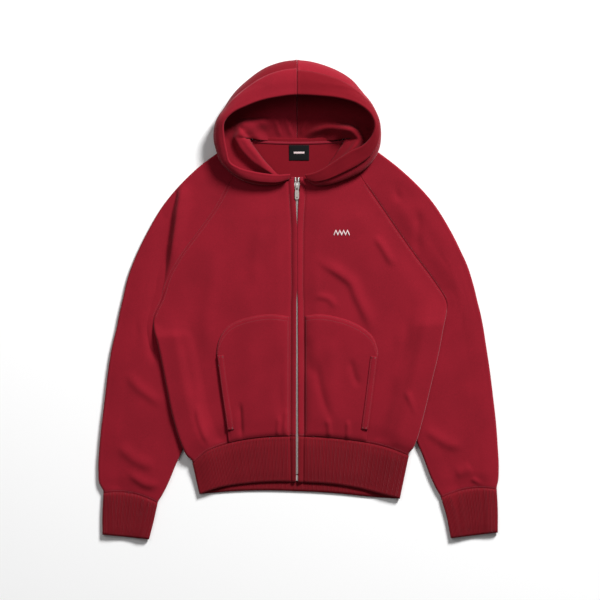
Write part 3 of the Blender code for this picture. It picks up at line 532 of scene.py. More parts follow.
def back_height(from_side, turns, fold, raised):
    """Height of the middle of the back layer, turned up at its sides."""
    bend = fold * (1 - np.sin(turns)) * FOLD_DEPTH / 2
    return HALF + side_rise(from_side, raised) + bend


def back_neck(x):
    """Height in plan of the back neck seam."""
    return BACK_NECK_Y + BACK_NECK_RISE * (np.asarray(x) / BACK_NECK_OUT["right"]) ** 2


def ring_columns(length, radius):
    """Points of a flattened ring: distance from its inner fold, turn, and 1 in front or -1 behind."""
    turns = [math.radians(step) for step in ROUND_STEPS]
    full = min(FOLD_FULL, 0.2 * length)
    fade = min(FOLD_FADE, 0.35 * length)
    inner = [radius * (1 - math.cos(turn)) for turn in turns]
    front = inner + [full, fade, length / 2, length - fade, length - full]
    front_turns = turns + [math.pi / 2] * 5
    outer_turns = [math.radians(step) for step in (90, 45, 0, -45, -90)]
    outer = [length - radius * (1 - math.cos(turn)) for turn in outer_turns]
    back = [length * 0.66, length * 0.33]
    places = front + outer + back + inner[::-1]
    angles = front_turns + outer_turns + [-math.pi / 2] * 2 + [-turn for turn in reversed(turns)]
    at_inner = [True] * 8 + [False] * 5 + [False] * 2 + [True] * 3
    return np.array(places), np.array(angles), np.array(at_inner)


def front_top(out, y):
    """Top of a front away from its folded side."""
    out, y = np.asarray(out, float), np.asarray(y, float)
    plump = np.maximum(plump_at_zip(out - slit(y)), ease(y, *NECK_FADE))
    return CLOTH + depth(plump)


def pocket_plan(side, columns=8, rows=8):
    """Plan of a pocket patch, from the zip outwards and from the hem seam up."""
    seam = even(HEM_SEAM[side][::-1], np.linspace(0, 1, 60))
    bottom_out = np.linspace(POCKET_IN, POCKET_SIDE[side][0][0], columns)
    bottom = np.stack([bottom_out, np.interp(bottom_out, seam[:, 0], seam[:, 1]) + 2 * SEAM], 1)
    top = even(POCKET_TOP[side], np.linspace(0, 1, columns))
    opening = even(pinned(POCKET_SIDE[side], bottom[-1], top[-1]), np.linspace(0, 1, rows))
    inner = np.stack([np.full(rows, POCKET_IN), np.linspace(bottom[0, 1], top[0, 1], rows)], 1)
    across = np.tile(np.linspace(0, 1, columns), (rows, 1))
    return coons(bottom[None], top[None], inner, opening, across, np.linspace(0, 1, rows)), opening


def finer(grid, step, axis=0):
    """The grid with points added on smooth curves along an axis, at most a step apart."""
    rows = np.moveaxis(np.asarray(grid, float), axis, 0)
    size = np.linalg.norm(np.diff(rows[..., :3], axis=0), axis=-1).mean(axis=1)
    slopes = np.gradient(rows, running(size), axis=0)
    secant = np.diff(rows, axis=0) / size[:, None, None]
    low, high = secant[:-1, :, 2:], secant[1:, :, 2:]
    cap = np.where(low * high > 0, 2 * np.minimum(abs(low), abs(high)), 0)
    slopes[1:-1, :, 2:] = np.clip(slopes[1:-1, :, 2:], -cap, cap)
    parts = []
    for k, length in enumerate(size):
        count = max(1, math.ceil(length / step))
        s = (np.arange(count) / count)[:, None, None]
        parts.append(hermite(s, length, rows[k], rows[k + 1], slopes[k], slopes[k + 1]))
    return np.moveaxis(np.concatenate(parts + [rows[-1:]]), 0, axis)


def fine(grid, row_step, column_step):
    """The grid refined both ways."""
    return finer(finer(grid, row_step, 0), column_step, 1)


def travel(grid, axis):
    """Distance along the grid from its first row (axis 0) or column (axis 1)."""
    run = np.linalg.norm(np.diff(grid[..., :3], axis=axis), axis=-1)
    start = np.zeros_like(np.take(run, [0], axis))
    return np.concatenate([start, np.cumsum(run, axis=axis)], axis=axis)


def outward(grid):
    """Unit normals of a grid, to the side where rows cross columns towards +Z on an upper layer."""
    down = np.gradient(grid[..., :3], axis=0)
    over = np.gradient(grid[..., :3], axis=1)
    normal = np.cross(over, down)
    return normal / np.maximum(np.linalg.norm(normal, axis=-1, keepdims=True), 1e-9)


def nearest(x, y, line):
    """Distance of plan points from a line, on its left where positive, and their place along it."""
    best = np.full(np.shape(x), 1e9)
    turned, place = np.zeros(np.shape(x)), np.zeros(np.shape(x))
    for k, (start, end) in enumerate(zip(line[:-1], line[1:])):
        run = end - start
        dx, dy = x - start[0], y - start[1]
        share = np.clip((dx * run[0] + dy * run[1]) / (run @ run), 0, 1)
        gap = np.hypot(dx - share * run[0], dy - share * run[1])
        nearer = gap < best
        best = np.where(nearer, gap, best)
        turned = np.where(nearer, run[0] * dy - run[1] * dx, turned)
        place = np.where(nearer, k + share, place)
    return best, turned, place / (len(line) - 1)


def creased(x, y, table):
    """Height that a table of creases adds at points of the plan."""
    rise = np.zeros(np.shape(x))
    for height, left, right, *path in table:
        best, turned, place = nearest(x, y, even(path, np.linspace(0, 1, 4 * len(path))))
        ends = ease(place, 0, 0.3) * ease(1 - place, 0, 0.3)
        rise += height * bell(best, 0, np.where(turned > 0, left, right)) * ends
    return rise


def ripple(x, y):
    """Slow unevenness of cloth that was smoothed by hand."""
    return (0.9 * np.sin(x / 25 + 0.9 * np.sin(y / 61)) * np.sin(y / 41 + 1.3)
            + 0.35 * np.sin(x / 13 - y / 29 + 0.7) * np.sin(y / 19 + x / 47))


def hem_line(x):
    """Height in plan of the front hem seam."""
    right, left = (np.array(HEM_SEAM[side], float) for side in SIGN)
    seam = np.concatenate([right * (-1, 1), left[::-1]])
    return np.interp(x, seam[:, 0], seam[:, 1])


def front_rise(x, y):
    """How far the fronts, and what lies on them, stand off their plain shape."""
    room = ease(np.abs(x), 10, 42) * (1 - ease(y, 150, 214)) * ease(y - hem_line(x), 1, 44)
    near_hem = 1 - ease(y, 165, 214)
    return room * (LOFT + ripple(x, y)) + near_hem * creased(x, y, FRONT_CREASES)


def placket_groove(from_zip):
    """Groove drawn in by the stitches beside the zip."""
    deep, wide = PLACKET_GROOVE
    return deep * bell(from_zip, PLACKET, wide)


def dip(distance, amount=SEAM_DIP):
    """Turn down into a seam."""
    return amount * bell(distance, 0, DIP_REACH)


def ramp(heights, reach=18):
    """Height that fills the foot of the steps down a grid of points, over so many rows."""
    share = np.hanning(2 * reach + 3)[1:-1]
    padded = np.pad(heights, ((reach, reach), (0, 0)), mode="edge")
    level = np.stack([np.convolve(column, share / share.sum(), "valid") for column in padded.T], 1)
    return np.maximum(level - heights, 0)


def placed(side, plan, z, *channels):
    """A grid on one side of the garment: x, y, z and channels."""
    return np.dstack([plan * (SIGN[side], 1), z] + [channel + 0 * z for channel in channels])


def front_sheet(side):
    """A front with its loft, creases and seams, and its distances from the side, hem and zip."""
    plan, from_side, from_zip, turns, fold, raised = body_plan(side, "front")
    flat = front_height(plan[..., 1], from_side, from_zip, turns, fold, raised)
    grid = fine(placed(side, plan, flat, from_side, from_zip, fold), *FRONT_GRID)
    x, y, z, from_side, from_zip, fold = np.moveaxis(grid, -1, 0)
    low = travel(grid, 0)
    slope = ease(from_side, 4, 26) * ease(low, 10, 60) * (1 - ease(y, 60, 130))
    z += slope * ramp(z)
    z += ease(from_side, 4, 55) * front_rise(x, y)
    z -= dip(from_side) * (1 - fold) * (1 - ease(y, *SEAM_FADE)) + dip(low)
    z -= placket_groove(from_zip)
    return np.dstack([grid[..., :3], from_side, low, from_zip])


def back_sheet():
    """The back, with its seams and the hollows under it."""
    halves = []
    for side in SIGN:
        plan, from_side, _, turns, fold, raised = body_plan(side, "back")
        halves.append(placed(side, plan, back_height(from_side, turns, fold, raised), from_side, fold))
    coarse = np.concatenate([halves[0], halves[1][:, -2::-1]], axis=1)
    allowance = coarse[-1:] + np.array((0, NECK_ALLOWANCE, 0, 0, 0))
    grid = fine(np.concatenate([coarse, allowance]), *BACK_GRID)
    x, y, z, from_side, fold = np.moveaxis(grid, -1, 0)
    low = travel(grid, 0)
    room = ease(from_side, 10, 60) * ease(low, 4, 40) * (1 - ease(y, 140, 210))
    z += room * creased(x, y, BACK_CREASES)
    z += dip(from_side, BACK_DIP) * (1 - fold) + dip(low, BACK_DIP)
    return grid


def ring_row(inner, outer, fold, arch=0.0, back_inner=None):
    """One row round a flattened ring: x, y, z, distances from both folds, turn, and its fold."""
    inner, outer = np.array(inner, float), np.array(outer, float)
    back_inner = inner if back_inner is None else np.array(back_inner, float)
    length = np.linalg.norm(outer - inner)
    radius = min(FOLD_DEPTH / 2, 0.2 * length)
    places, angles, at_inner = ring_columns(length, radius)
    share = places / length
    front = angles > 0
    start = np.where(front[:, None], inner, back_inner)
    plan = start + (outer - start) * share[:, None]
    plan[:, 1] += arch * 4 * share * (1 - share)
    neck = ease(plan[:, 1], *NECK_FADE)
    near = fold * fade(places, FOLD_FULL, FOLD_FADE)
    plump = np.maximum(near, fade(length - places, FOLD_FULL, FOLD_FADE))
    deep = depth(np.maximum(plump, neck))
    turn = np.where(at_inner, fold * np.sin(angles) + (1 - fold) * np.sign(angles), np.sin(angles))
    z = HALF + deep / 2 * (1 + turn)
    return np.column_stack([plan, z, places, length - places, turn, np.full(len(z), float(fold))])


def sleeve_rows(side):
    """Rows of a sleeve from its cuff seam to the neck."""
    rows = []
    shift = seam_shift(1.0)
    table = SLEEVE[side]
    far, under, long = UNDERARM_TUCK
    for inner_out, inner_y, outer_out, outer_y in table:
        arch = CUFF_ARCH * fade(outer_y - table[0][3], 3, 40)
        tuck = far * math.exp(-((inner_y - table[-1][1] + under) / long) ** 2)
        rows.append(ring_row((inner_out + shift - tuck, inner_y), (outer_out, outer_y), 1.0, arch))
    rows[0][:, 1] += SEAM / 2
    front, inward, fold = raglan(side, "front")
    back, back_inward, _ = raglan(side, "back")
    front = front[:, :2] - inward * seam_shift(fold)[:, None]
    back = back[:, :2] - back_inward * seam_shift(fold)[:, None]
    for k in range(1, len(front)):
        rows.append(ring_row(front[k], SHOULDER[side][k], fold[k], 0.0, back[k]))
    return np.stack(rows)


def sleeve_sheet(side):
    """A sleeve with its loft and creases, closed along its underarm seam."""
    coarse = sleeve_rows(side)
    coarse[..., 0] *= SIGN[side]
    grid = fine(coarse, *SLEEVE_GRID)
    x, y, z, inner, outer, turn, fold = np.moveaxis(grid, -1, 0)
    low = travel(grid, 0)
    plain = z.copy()
    top, under = ease(turn, 0.2, 1), ease(-turn, 0.2, 1)
    room = ease(low, 2, 34) * (1 - ease(y, 160, 226)) * ease(outer, 3, 34)
    body_side = fold * ease(inner, 3, 34) + (1 - fold) * ease(inner, 1, 40)
    rise = LOFT * 1.15 + ripple(x + 40, y)
    away = (1 - ease(y, 190, 232)) * ease(low, 1, 16)
    z += top * (room * body_side * rise + away * creased(x, y, SLEEVE_CREASES))
    z += under * room * body_side * creased(x, y, BACK_CREASES)
    seam = (1 - fold) * (1 - ease(y, *SEAM_FADE))
    z -= top * (dip(inner) * seam + dip(low)) - under * (dip(inner, BACK_DIP) * seam + dip(low, BACK_DIP))
    z[:] = np.where(top > 0, np.maximum(z, plain - PLEAT_DEPTH * top), z)
    return np.dstack([grid[..., :3], inner, low, turn])


def ribbed(grid, low):
    """The grid with fine ribs across its band."""
    wave = np.cos(2 * math.pi * np.broadcast_to(travel(grid[:1], 1), low.shape) / RIB_PITCH)
    rise = RIB_HEIGHT * np.sign(wave) * np.abs(wave) ** 0.7
    return grid[..., :3] + outward(grid) * rise[..., None]


def cuff_sheet(side):
    """A rib cuff, a little drawn in at its seam."""
    rows = []
    for k, (inner_out, inner_y, outer_out, outer_y) in enumerate(CUFF[side]):
        start = (inner_out + seam_shift(1.0), inner_y)
        rows.append(ring_row(start, (outer_out, outer_y), 1.0, CUFF_ARCH if k == 0 else 0.0))
    rows[0][:, 1] -= SEAM / 2
    coarse = np.stack(rows)
    coarse[..., 0] *= SIGN[side]
    grid = fine(coarse, *RIB_GRID)
    z, inner, outer, turn = (grid[..., k] for k in (2, 3, 4, 5))
    low = travel(grid, 0)
    puff = ease(low, 0, 14) * (1 - ease(low, 70, 84)) * ease(inner, 2, 20) * ease(outer, 2, 20)
    z += ease(turn, 0.2, 1) * (CUFF_PUFF * puff - dip(low))
    return ribbed(grid, low)


def hem_sheet():
    """The ribbed waistband, from the zip round the back to the zip again."""
    shares = np.array(HEM_SHARES)[:, None]
    strips = {}
    for side in SIGN:
        for layer, low_edge in (("front", HEM_FRONT), ("back", HEM_BACK)):
            plan, (across, *_), (from_zip, *_), (turn, *_), _, raised = body_plan(side, layer)
            top = plan[0] - (0, HEM_GAP)
            low = even(low_edge[side], across / across[-1])
            share_raised = raised[0] * (1 - shares) ** 2
            if layer == "front":
                low[-1, 0] = slit(low[-1, 1])
            rows = top + (low - top) * shares[:, :, None]
            if layer == "front":
                z = front_height(rows[..., 1], across, from_zip, turn, 1.0, share_raised)
                strips[side, layer] = placed(side, rows, z, np.sin(turn), from_zip, across)
            else:
                z = back_height(across, turn, 1.0, share_raised)
                strips[side, layer] = placed(side, rows, z, -1, FAR, across)
    coarse = np.concatenate([strips["right", "front"][:, ::-1], strips["right", "back"],
                             strips["left", "back"][:, -2::-1], strips["left", "front"]], axis=1)
    grid = fine(coarse, *RIB_GRID)
    low = travel(grid, 0)
    x, y, z, is_front, from_zip, from_side = np.moveaxis(grid, -1, 0)
    front = ease(is_front, 0.2, 1)
    room = ease(from_zip, 3, 20) * ease(from_side, 3, 30)
    puff = ease(low, 1, 18) * (1 - ease(low, 62, 86))
    z += front * (room * puff * (HEM_PUFF + 0.7 * ripple(x, y)) - placket_groove(from_zip))
    z += front * ease(from_zip, 0, 4) * PIPING * bell(low, 2.4, 1.5)
    z -= front * 0.9 * bell(low, 6.0, 2.0)
    z += 0.7 * (1 - front) * dip(low)
    return ribbed(grid, low)


def hood_rest(side, out, y):
    """Height of the top of what the hood lies on: the shoulders and fronts, or the table."""
    shoulder = even(SHOULDER[side][5:], np.linspace(0, 1, 12))
    inner = even(NECKLINE[side][::-1], np.linspace(0, 1, 12))
    best, turned, _ = nearest(out, y, np.concatenate([shoulder, inner]))
    away = np.where(turned < 0, best, 0.0)
    return (FOLD_DEPTH + CLOTH) * (1 - ease(away, *HOOD_OVERHANG))


def hood_rows(side, rows=34):
    """Coarse half hood: rim over the top, round the edge and in to the neck; last channel marks the leaf."""
    table = HOOD[side]
    mirrored = [-value if k in (0, 3, 6) else value for k, value in enumerate(table[-2])]
    section = along(table + [mirrored], np.linspace(0, len(table) - 1, rows))
    rim, edge, neck, swell = section[:, 0:3], section[:, 3:6], section[:, 6:8], section[:, 8]
    neck[:, 1] -= 0.65 * np.maximum(neck[:, 1] - back_neck(neck[:, 0]) - SEAM, 0)
    way = neck - edge[:, :2]
    reach = np.linalg.norm(way, axis=1)
    rolled = np.minimum(ROLL, 0.4 * reach) / reach
    lean = RIM_TILT * ease(rim[:, 1], *TILT_OVER)
    columns = []

    def column(plan, z, leaf=0.0):
        columns.append(np.column_stack([plan, z, np.full(rows, leaf)]))

    for angle in np.radians([0, 22, 45, 67, 90]):
        up, out = math.cos(angle), math.sin(angle)
        z = edge[:, 2] + (rim[:, 2] - edge[:, 2]) * up + lean * (1 - out)
        column(rim[:, :2] + (edge[:, :2] - rim[:, :2]) * out, z)
    for angle in np.radians([40, 90]):
        plan = edge[:, :2] + way * (rolled * (1 - math.cos(angle)))[:, None]
        low = hood_rest(side, *plan.T) + HALF + SEAM
        column(plan, low + (edge[:, 2] - low) * (1 - math.sin(angle)))
    for share in (0.25, 0.45, 0.62, 0.8, 1.0):
        plan = edge[:, :2] + way * (rolled + (1 - rolled) * share)[:, None]
        z = hood_rest(side, *plan.T) + HALF + SEAM + swell * math.exp(-((share - SWELL_AT) / 0.2) ** 2)
        z -= BACK_SEAM_DROP * ease(share, 0.3, 1.0) * ease(neck[:, 1], 303, 308) * fade(neck[:, 0], 62, 92)
        column(plan, z, share)
    grid = np.stack(columns, 1)
    grid[..., 0] = np.maximum(grid[..., 0], HOOD_CENTRE_GAP)
    grid[-1, :, 0] = HOOD_CENTRE_GAP
    behind = grid[:, -1, 1] > BACK_NECK_Y - 4
    seam = back_neck(grid[behind, -1, 0]) + SEAM
    grid[behind, -1, 1] = np.maximum(grid[behind, -1, 1], seam)
    grid[..., 0] *= SIGN[side]
    return grid


def hood_sheet(side):
    """Half the hood with its hemmed rim, the folds inside it and the seam over its crown."""
    grid = fine(hood_rows(side), *HOOD_GRID)
    x, y, leaf = grid[..., 0], grid[..., 1], grid[..., 3]
    inner = ease(leaf, 0.05, 0.3) * (1 - ease(leaf, 0.93, 1.0))
    grid[..., 2] += inner * np.maximum(creased(x, y, HOOD_FOLDS), 0)
    from_rim = travel(grid, 1)
    centre = np.abs(x)
    normal = outward(grid) * -SIGN[side]
    upper = 1 - ease(leaf, 0, 0.05)
    puff = RIM_PUFF * np.sin(math.pi * np.clip(from_rim / RIM_HEM, 0, 1)).clip(0) ** 0.6
    groove = RIM_GROOVE[0] * bell(from_rim, RIM_HEM, RIM_GROOVE[1])
    push = upper * (puff - groove - bell(centre, 0, 3.0) + creased(x, y, CROWN_CREASES))
    grid[..., :3] += normal * push[..., None]
    lining = int(np.searchsorted(from_rim.mean(axis=0), RIM_HEM)) + 1
    facing = grid[:, :lining, :3] - normal[:, :lining] * RIM_LAYER
    beyond = grid[:, 0, :3] - grid[:, 1, :3]
    beyond /= np.linalg.norm(beyond, axis=-1, keepdims=True)
    half = RIM_LAYER / 2
    turn = [grid[:, 0, :3] - normal[:, 0] * half * (1 - math.cos(angle)) + beyond * half * math.sin(angle)
            for angle in np.radians([150, 120, 90, 60, 30])]
    rim = np.concatenate([facing[:, ::-1], np.stack(turn, 1)], axis=1)
    extra = np.dstack([rim, np.full(rim.shape[:2], -1.0)])
    return np.concatenate([extra, np.dstack([grid[..., :3], from_rim])], axis=1), from_rim


def pocket_sheet(side):
    """A pocket patch lying on its front, a little full towards its opening."""
    plan, _ = pocket_plan(side, 16, 16)
    flat = front_top(plan[..., 0], plan[..., 1]) + SEAM + HALF
    grid = fine(placed(side, plan, flat), *POCKET_GRID)
    x, y, z = np.moveaxis(grid, -1, 0)
    low, across = travel(grid, 0), travel(grid, 1)
    up, out = travel(grid[::-1], 0)[::-1], travel(grid[:, ::-1], 1)[:, ::-1]
    inside = ease(up, 1, 12) * ease(out, 1, 9) * ease(across, 1, 14) * ease(low, 1, 12)
    z += front_rise(x, y) + POCKET_PUFF * inside
    z -= 0.35 * (bell(up, 3.2, 1.3) + bell(up, 9.5, 1.3))
    turned = np.maximum(bell(across, 0, 3.2), bell(low, 0, 3.2))
    z -= 2.4 * np.maximum(turned, 0.62 * bell(up, 0, 2.2))
    return np.dstack([grid, up, out, across])


def welt_sheet(side):
    """The strip along the pocket's slanted opening."""
    _, opening = pocket_plan(side, rows=33)
    picked = even(opening, np.linspace(*WELT_SPAN, 12))
    turn = normals(picked)
    places = [0.5 + (WELT_WIDTH - 0.5) * share for share in (1, 0.85, 0.5, 0.15, 0)]
    plan = np.stack([picked + turn * place for place in places], 1)
    flat = front_top(plan[..., 0], plan[..., 1]) + SEAM + CLOTH + SEAM + WELT / 2
    grid = fine(placed(side, plan, flat), *WELT_GRID)
    x, y, z = np.moveaxis(grid, -1, 0)
    across = travel(grid, 1)
    width = across[:, -1:]
    z += front_rise(x, y) + 0.5
    crown = np.sin(math.pi * np.clip(across / width, 0, 1)).clip(0) ** 0.5
    z += 0.9 * crown - 0.6 * bell(across, 2.2, 1.2)
    return np.dstack([grid, across, width - across, travel(grid, 0)])


def shell(name, grid, thickness, material, closed=False, inside=None):
    """A wall of cloth about a fine grid of points, joined to itself where it is closed."""
    points = grid[..., :3]
    rows, columns = points.shape[:2]
    index = np.arange(rows * columns).reshape(rows, columns)
    if closed:
        index = np.concatenate([index, index[:, :1]], axis=1)
    quads = np.stack([index[:-1, :-1], index[:-1, 1:], index[1:, 1:], index[1:, :-1]], -1).reshape(-1, 4)
    made = mesh_piece(name, points.reshape(-1, 3), quads.tolist(), material)
    wall = made.modifiers.new("wall", "SOLIDIFY")
    wall.thickness = thickness * MM
    wall.offset = 0.0
    if inside:
        made.data.materials.append(inside)
        wall.material_offset = 1
    return made


def link(name, data):
    """A new object in the scene."""
    made = bpy.data.objects.new(name, data)
    bpy.context.scene.collection.objects.link(made)
    return made


def mesh_piece(name, points, faces, material, smooth=True):
    """A mesh of points in millimetres."""
    mesh = bpy.data.meshes.new(name)
    mesh.from_pydata((np.asarray(points) * MM).tolist(), [], faces)
    if smooth:
        mesh.shade_smooth()
    mesh.materials.append(material)
    return link(name, mesh)


def tube(rings, count):
    """Faces round a tube of rings with so many points each."""
    return [(ring * count + k, ring * count + (k + 1) % count,
             (ring + 1) * count + (k + 1) % count, (ring + 1) * count + k)
            for ring in range(rings - 1) for k in range(count)]


def strands(name, starts, ends, up, width, height, material):
    """Short rounded strands of thread from starts to ends, as one mesh."""
    run = ends - starts
    along_way = run / np.linalg.norm(run, axis=1, keepdims=True)
    over = np.cross(up, along_way)
    over /= np.linalg.norm(over, axis=1, keepdims=True)
    up = np.cross(along_way, over)
    loops = []
    for share, scale, sink in ((0, 0.45, -0.7), (0.2, 0.95, 0.0), (0.8, 0.95, 0.0), (1, 0.45, -0.7)):
        middle = starts + run * share + up * sink * height
        for angle in np.radians([45, 135, 225, 315]):
            loops.append(middle + over * math.cos(angle) * width * 0.7 * scale
                         + up * math.sin(angle) * height * 0.7 * scale)
    points = np.stack(loops, 1).reshape(-1, 3)
    one = np.array(tube(4, 4) + [(3, 2, 1, 0), (12, 13, 14, 15)])
    faces = (one[None] + 16 * np.arange(len(starts))[:, None, None]).reshape(-1, 4)
    return mesh_piece(name, points, faces.tolist(), material)


def thread_row(path, up, pitch, length):
    """Ends of the stitches along a path, with their up vectors."""
    reach = running(steps(path))
    middles = np.arange(pitch / 2, reach[-1] - length / 2, pitch)

    def sample(places, rows):
        return np.stack([np.interp(places, reach, column) for column in rows.T], 1)

    return sample(middles - length / 2, path), sample(middles + length / 2, path), sample(middles, up)


def contour(grid, channel, value, axis=1, lift=HALF):
    """Line on the outside of a cloth where a distance has a value: points and their normals."""
    normal = outward(grid)
    normal *= np.sign(normal[..., 2:3] + 1e-9)
    data = np.concatenate([grid[..., :3] + normal * lift, normal], axis=2)
    if axis == 0:
        data, channel = np.swapaxes(data, 0, 1), np.swapaxes(channel, 0, 1)
    rows = []
    for line, places in zip(data, channel):
        order = np.argsort(places)
        rows.append([np.interp(value, places[order], column[order]) for column in line.T])
    rows = np.array(rows)
    return rows[:, :3], rows[:, 3:]


def sew(name, runs, material, width=STITCH[2], length=STITCH[0], pitch=STITCH[1]):
    """Rows of stitches as one piece of thread."""
    ends = [np.concatenate(part) for part in zip(*(thread_row(*run, pitch, length) for run in runs))]
    dress(strands(name, *ends, width, width * 0.8, material))


def node(tree, kind, values=(), links=()):
    """A shader node with values and with links to its inputs."""
    made = tree.nodes.new("ShaderNode" + kind)
    for key, value in dict(values).items():
        made.inputs[key].default_value = value
    for key, output in dict(links).items():
        tree.links.new(output, made.inputs[key])
    return made


def node_material(name, colour, roughness, more=()):
    """A Principled material, with its node tree and its shader."""
    made = bpy.data.materials.new(name)
    made.use_nodes = True
    shader = made.node_tree.nodes["Principled BSDF"]
    values = {"Base Color": (*colour, 1), "Roughness": roughness, **dict(more)}
    for key, value in values.items():
        shader.inputs[key].default_value = value
    return made, made.node_tree, shader


def noise(tree, scale, detail, stretch=None):
    """Noise on object coordinates, in lumps of about a metre over scale."""
    place = node(tree, "TexCoord").outputs["Object"]
    if stretch:
        place = node(tree, "Mapping", {"Scale": stretch}, {"Vector": place}).outputs["Vector"]
    return node(tree, "TexNoise", {"Scale": scale, "Detail": detail}, {"Vector": place}).outputs["Fac"]


def waves(tree, pitch, direction):
    """Fine parallel ridges with a pitch in metres."""
    place = node(tree, "TexCoord").outputs["Object"]
    values = {"Scale": 2 * math.pi / (20 * pitch), "Distortion": 1.2, "Detail": 1.0}
    found = node(tree, "TexWave", values, {"Vector": place})
    found.bands_direction = direction
    return found.outputs["Fac"]


def tint(tree, factor, colour, dark, light):
    """A colour made darker to lighter by a factor."""
    found = node(tree, "ValToRGB", links={"Fac": factor})
    for stop, place, by in zip(found.color_ramp.elements, (0.35, 0.65), (dark, light)):
        stop.position = place
        stop.color = (*(min(1.0, value * by) for value in colour), 1)
    return found.outputs["Color"]


def bumps(tree, shader, layers):
    """Bump from layers of (height output, strength, distance in metres)."""
    before = {}
    for height, strength, distance in layers:
        values = {"Strength": strength, "Distance": distance}
        before = {"Normal": node(tree, "Bump", values, {"Height": height, **before}).outputs["Normal"]}
    tree.links.new(before["Normal"], shader.inputs["Normal"])


def cloth_material(name, colour, wale, direction, sheen, contrast=0.16):
    """Knitted cloth with a nap: fine wales, fuzz, mottled dye and a soft sheen."""
    made, tree, shader = node_material(name, colour, 0.9, {
        "Specular IOR Level": 0.12, "Sheen Weight": sheen, "Sheen Roughness": 0.45,
        "Sheen Tint": (1.0, 0.55, 0.6, 1)})
    slow = tint(tree, noise(tree, 14, 3), colour, 1 - contrast * 0.5, 1 + contrast * 0.5)
    speckle = noise(tree, 900, 3)
    grain = tint(tree, speckle, colour, 1 - contrast, 1 + contrast)
    mixed = node(tree, "MixRGB", {"Fac": 0.5}, {"Color1": slow, "Color2": grain})
    tree.links.new(mixed.outputs["Color"], shader.inputs["Base Color"])
    bumps(tree, shader, [(waves(tree, wale, direction), 0.35, 0.0002), (speckle, 0.45, 0.0003)])
    return made


def metal_material(name, colour, roughness, metallic):
    """Nickel metal, worn a little, with fine scratches."""
    made, tree, shader = node_material(name, colour, roughness, {"Metallic": metallic})
    tree.links.new(tint(tree, noise(tree, 700, 3), colour, 0.82, 1.08), shader.inputs["Base Color"])
    bumps(tree, shader, [(noise(tree, 1500, 2, (1, 0.12, 1)), 0.25, 0.00005)])
    return made


def thread_material(name, colour, roughness=0.55):
    """Spun thread with a slight shine."""
    made, tree, shader = node_material(name, colour, roughness, {"Sheen Weight": 0.3})
    fibre = noise(tree, 3000, 2)
    tree.links.new(tint(tree, fibre, colour, 0.85, 1.12), shader.inputs["Base Color"])
    bumps(tree, shader, [(fibre, 0.4, 0.0001)])
    return made


def teeth(material):
    """The teeth of both sides of the zip, closed below the slider and parting above it."""
    across, length, height = TOOTH
    outline = [(-0.5, 0), (-0.42, 0.5), (0.2, 0.5), (0.5, 0.3), (0.5, -0.3), (0.2, -0.5), (-0.42, -0.5)]
    count = len(outline)
    one = tube(4, count) + [tuple(range(3 * count, 4 * count))]
    turned = [face[1::-1] + face[:1:-1] for face in one[:-1]] + [one[-1][::-1]]
    low, high = TEETH_Y
    points, faces = [], []
    for sign, half in ((-1, one), (1, turned)):
        y = low + (TEETH_PITCH / 2 if sign > 0 else 0)
        while y < high:
            if not SLIDER_Y[0] - 1 < y < SLIDER_Y[1]:
                x = sign * (max(0.0, y - SLIDER_Y[0]) * 0.11 + 0.8)
                faces += [[len(points) + k for k in face] for face in half]
                for z, scale in ((0.0, 0.8), (0.22, 1.0), (0.78, 1.0), (1.0, 0.72)):
                    points += [(x - sign * u * across * scale, y + v * length * scale * 1.7,
                                TEETH_Z + height * z) for u, v in outline]
            y += TEETH_PITCH
    return mesh_piece("zip_teeth", points, faces, material, smooth=False)


def tape_sheet(side):
    """One zip tape, from the chain outwards."""
    rows = np.array(TAPE_EDGE, float)
    shares = np.linspace(0, 1, 5)[None, :, None]
    inner = np.column_stack([rows[:, 1], rows[:, 0], np.full(len(rows), TAPE_Z[0])])
    outer = np.column_stack([rows[:, 2], rows[:, 0], np.full(len(rows), TAPE_Z[1])])
    grid = inner[:, None] * (1 - shares) + outer[:, None] * shares
    return fine(grid * (SIGN[side], 1, 1), 6, 2)


def neck_tape_sheet():
    """The tape over the back neck seam, a little crowned."""
    x = np.linspace(-BACK_NECK_OUT["right"] - 8, BACK_NECK_OUT["left"] + 8, 60)
    upper = back_neck(x) - 1.0
    columns = []
    for share in np.linspace(0, 1, 7):
        z = CLOTH + SEAM + TAPE / 2 + 0.9 * math.sin(math.pi * share) ** 0.7
        columns.append(np.column_stack([x, upper - NECK_TAPE_WIDTH * (1 - share), np.full(len(x), z)]))
    return np.stack(columns)


def label_sheet():
    """The blank woven label, sewn flat to the back."""
    x = LABEL_AT[0] + np.linspace(-0.5, 0.5, 40) * LABEL[0]
    y = LABEL_AT[1] + np.linspace(-0.5, 0.5, 30) * LABEL[1]
    xs, ys = np.meshgrid(x, y)
    edge = np.maximum(abs(xs - LABEL_AT[0]) / LABEL[0], abs(ys - LABEL_AT[1]) / LABEL[1]) * 2
    z = CLOTH + SEAM + LABEL[2] / 2 + 0.5 * (1 - edge**6) + 0.2 * np.sin(xs / 9) * np.sin(ys / 7)
    return np.dstack([xs, ys, z])


def label_bar(material):
    """A plain bar of satin stitches across the label."""
    wide, high = LABEL_BAR
    places = LABEL_AT[0] + np.linspace(-wide / 2, wide / 2, 30)
    level = CLOTH + SEAM + LABEL[2] + 0.5
    low = np.column_stack([places, np.full(30, LABEL_AT[1] - high / 2), np.full(30, level)])
    return strands("label_bar", low, low + (0, high, 0), (0, 0, 1.0), 0.6, 0.5, material)


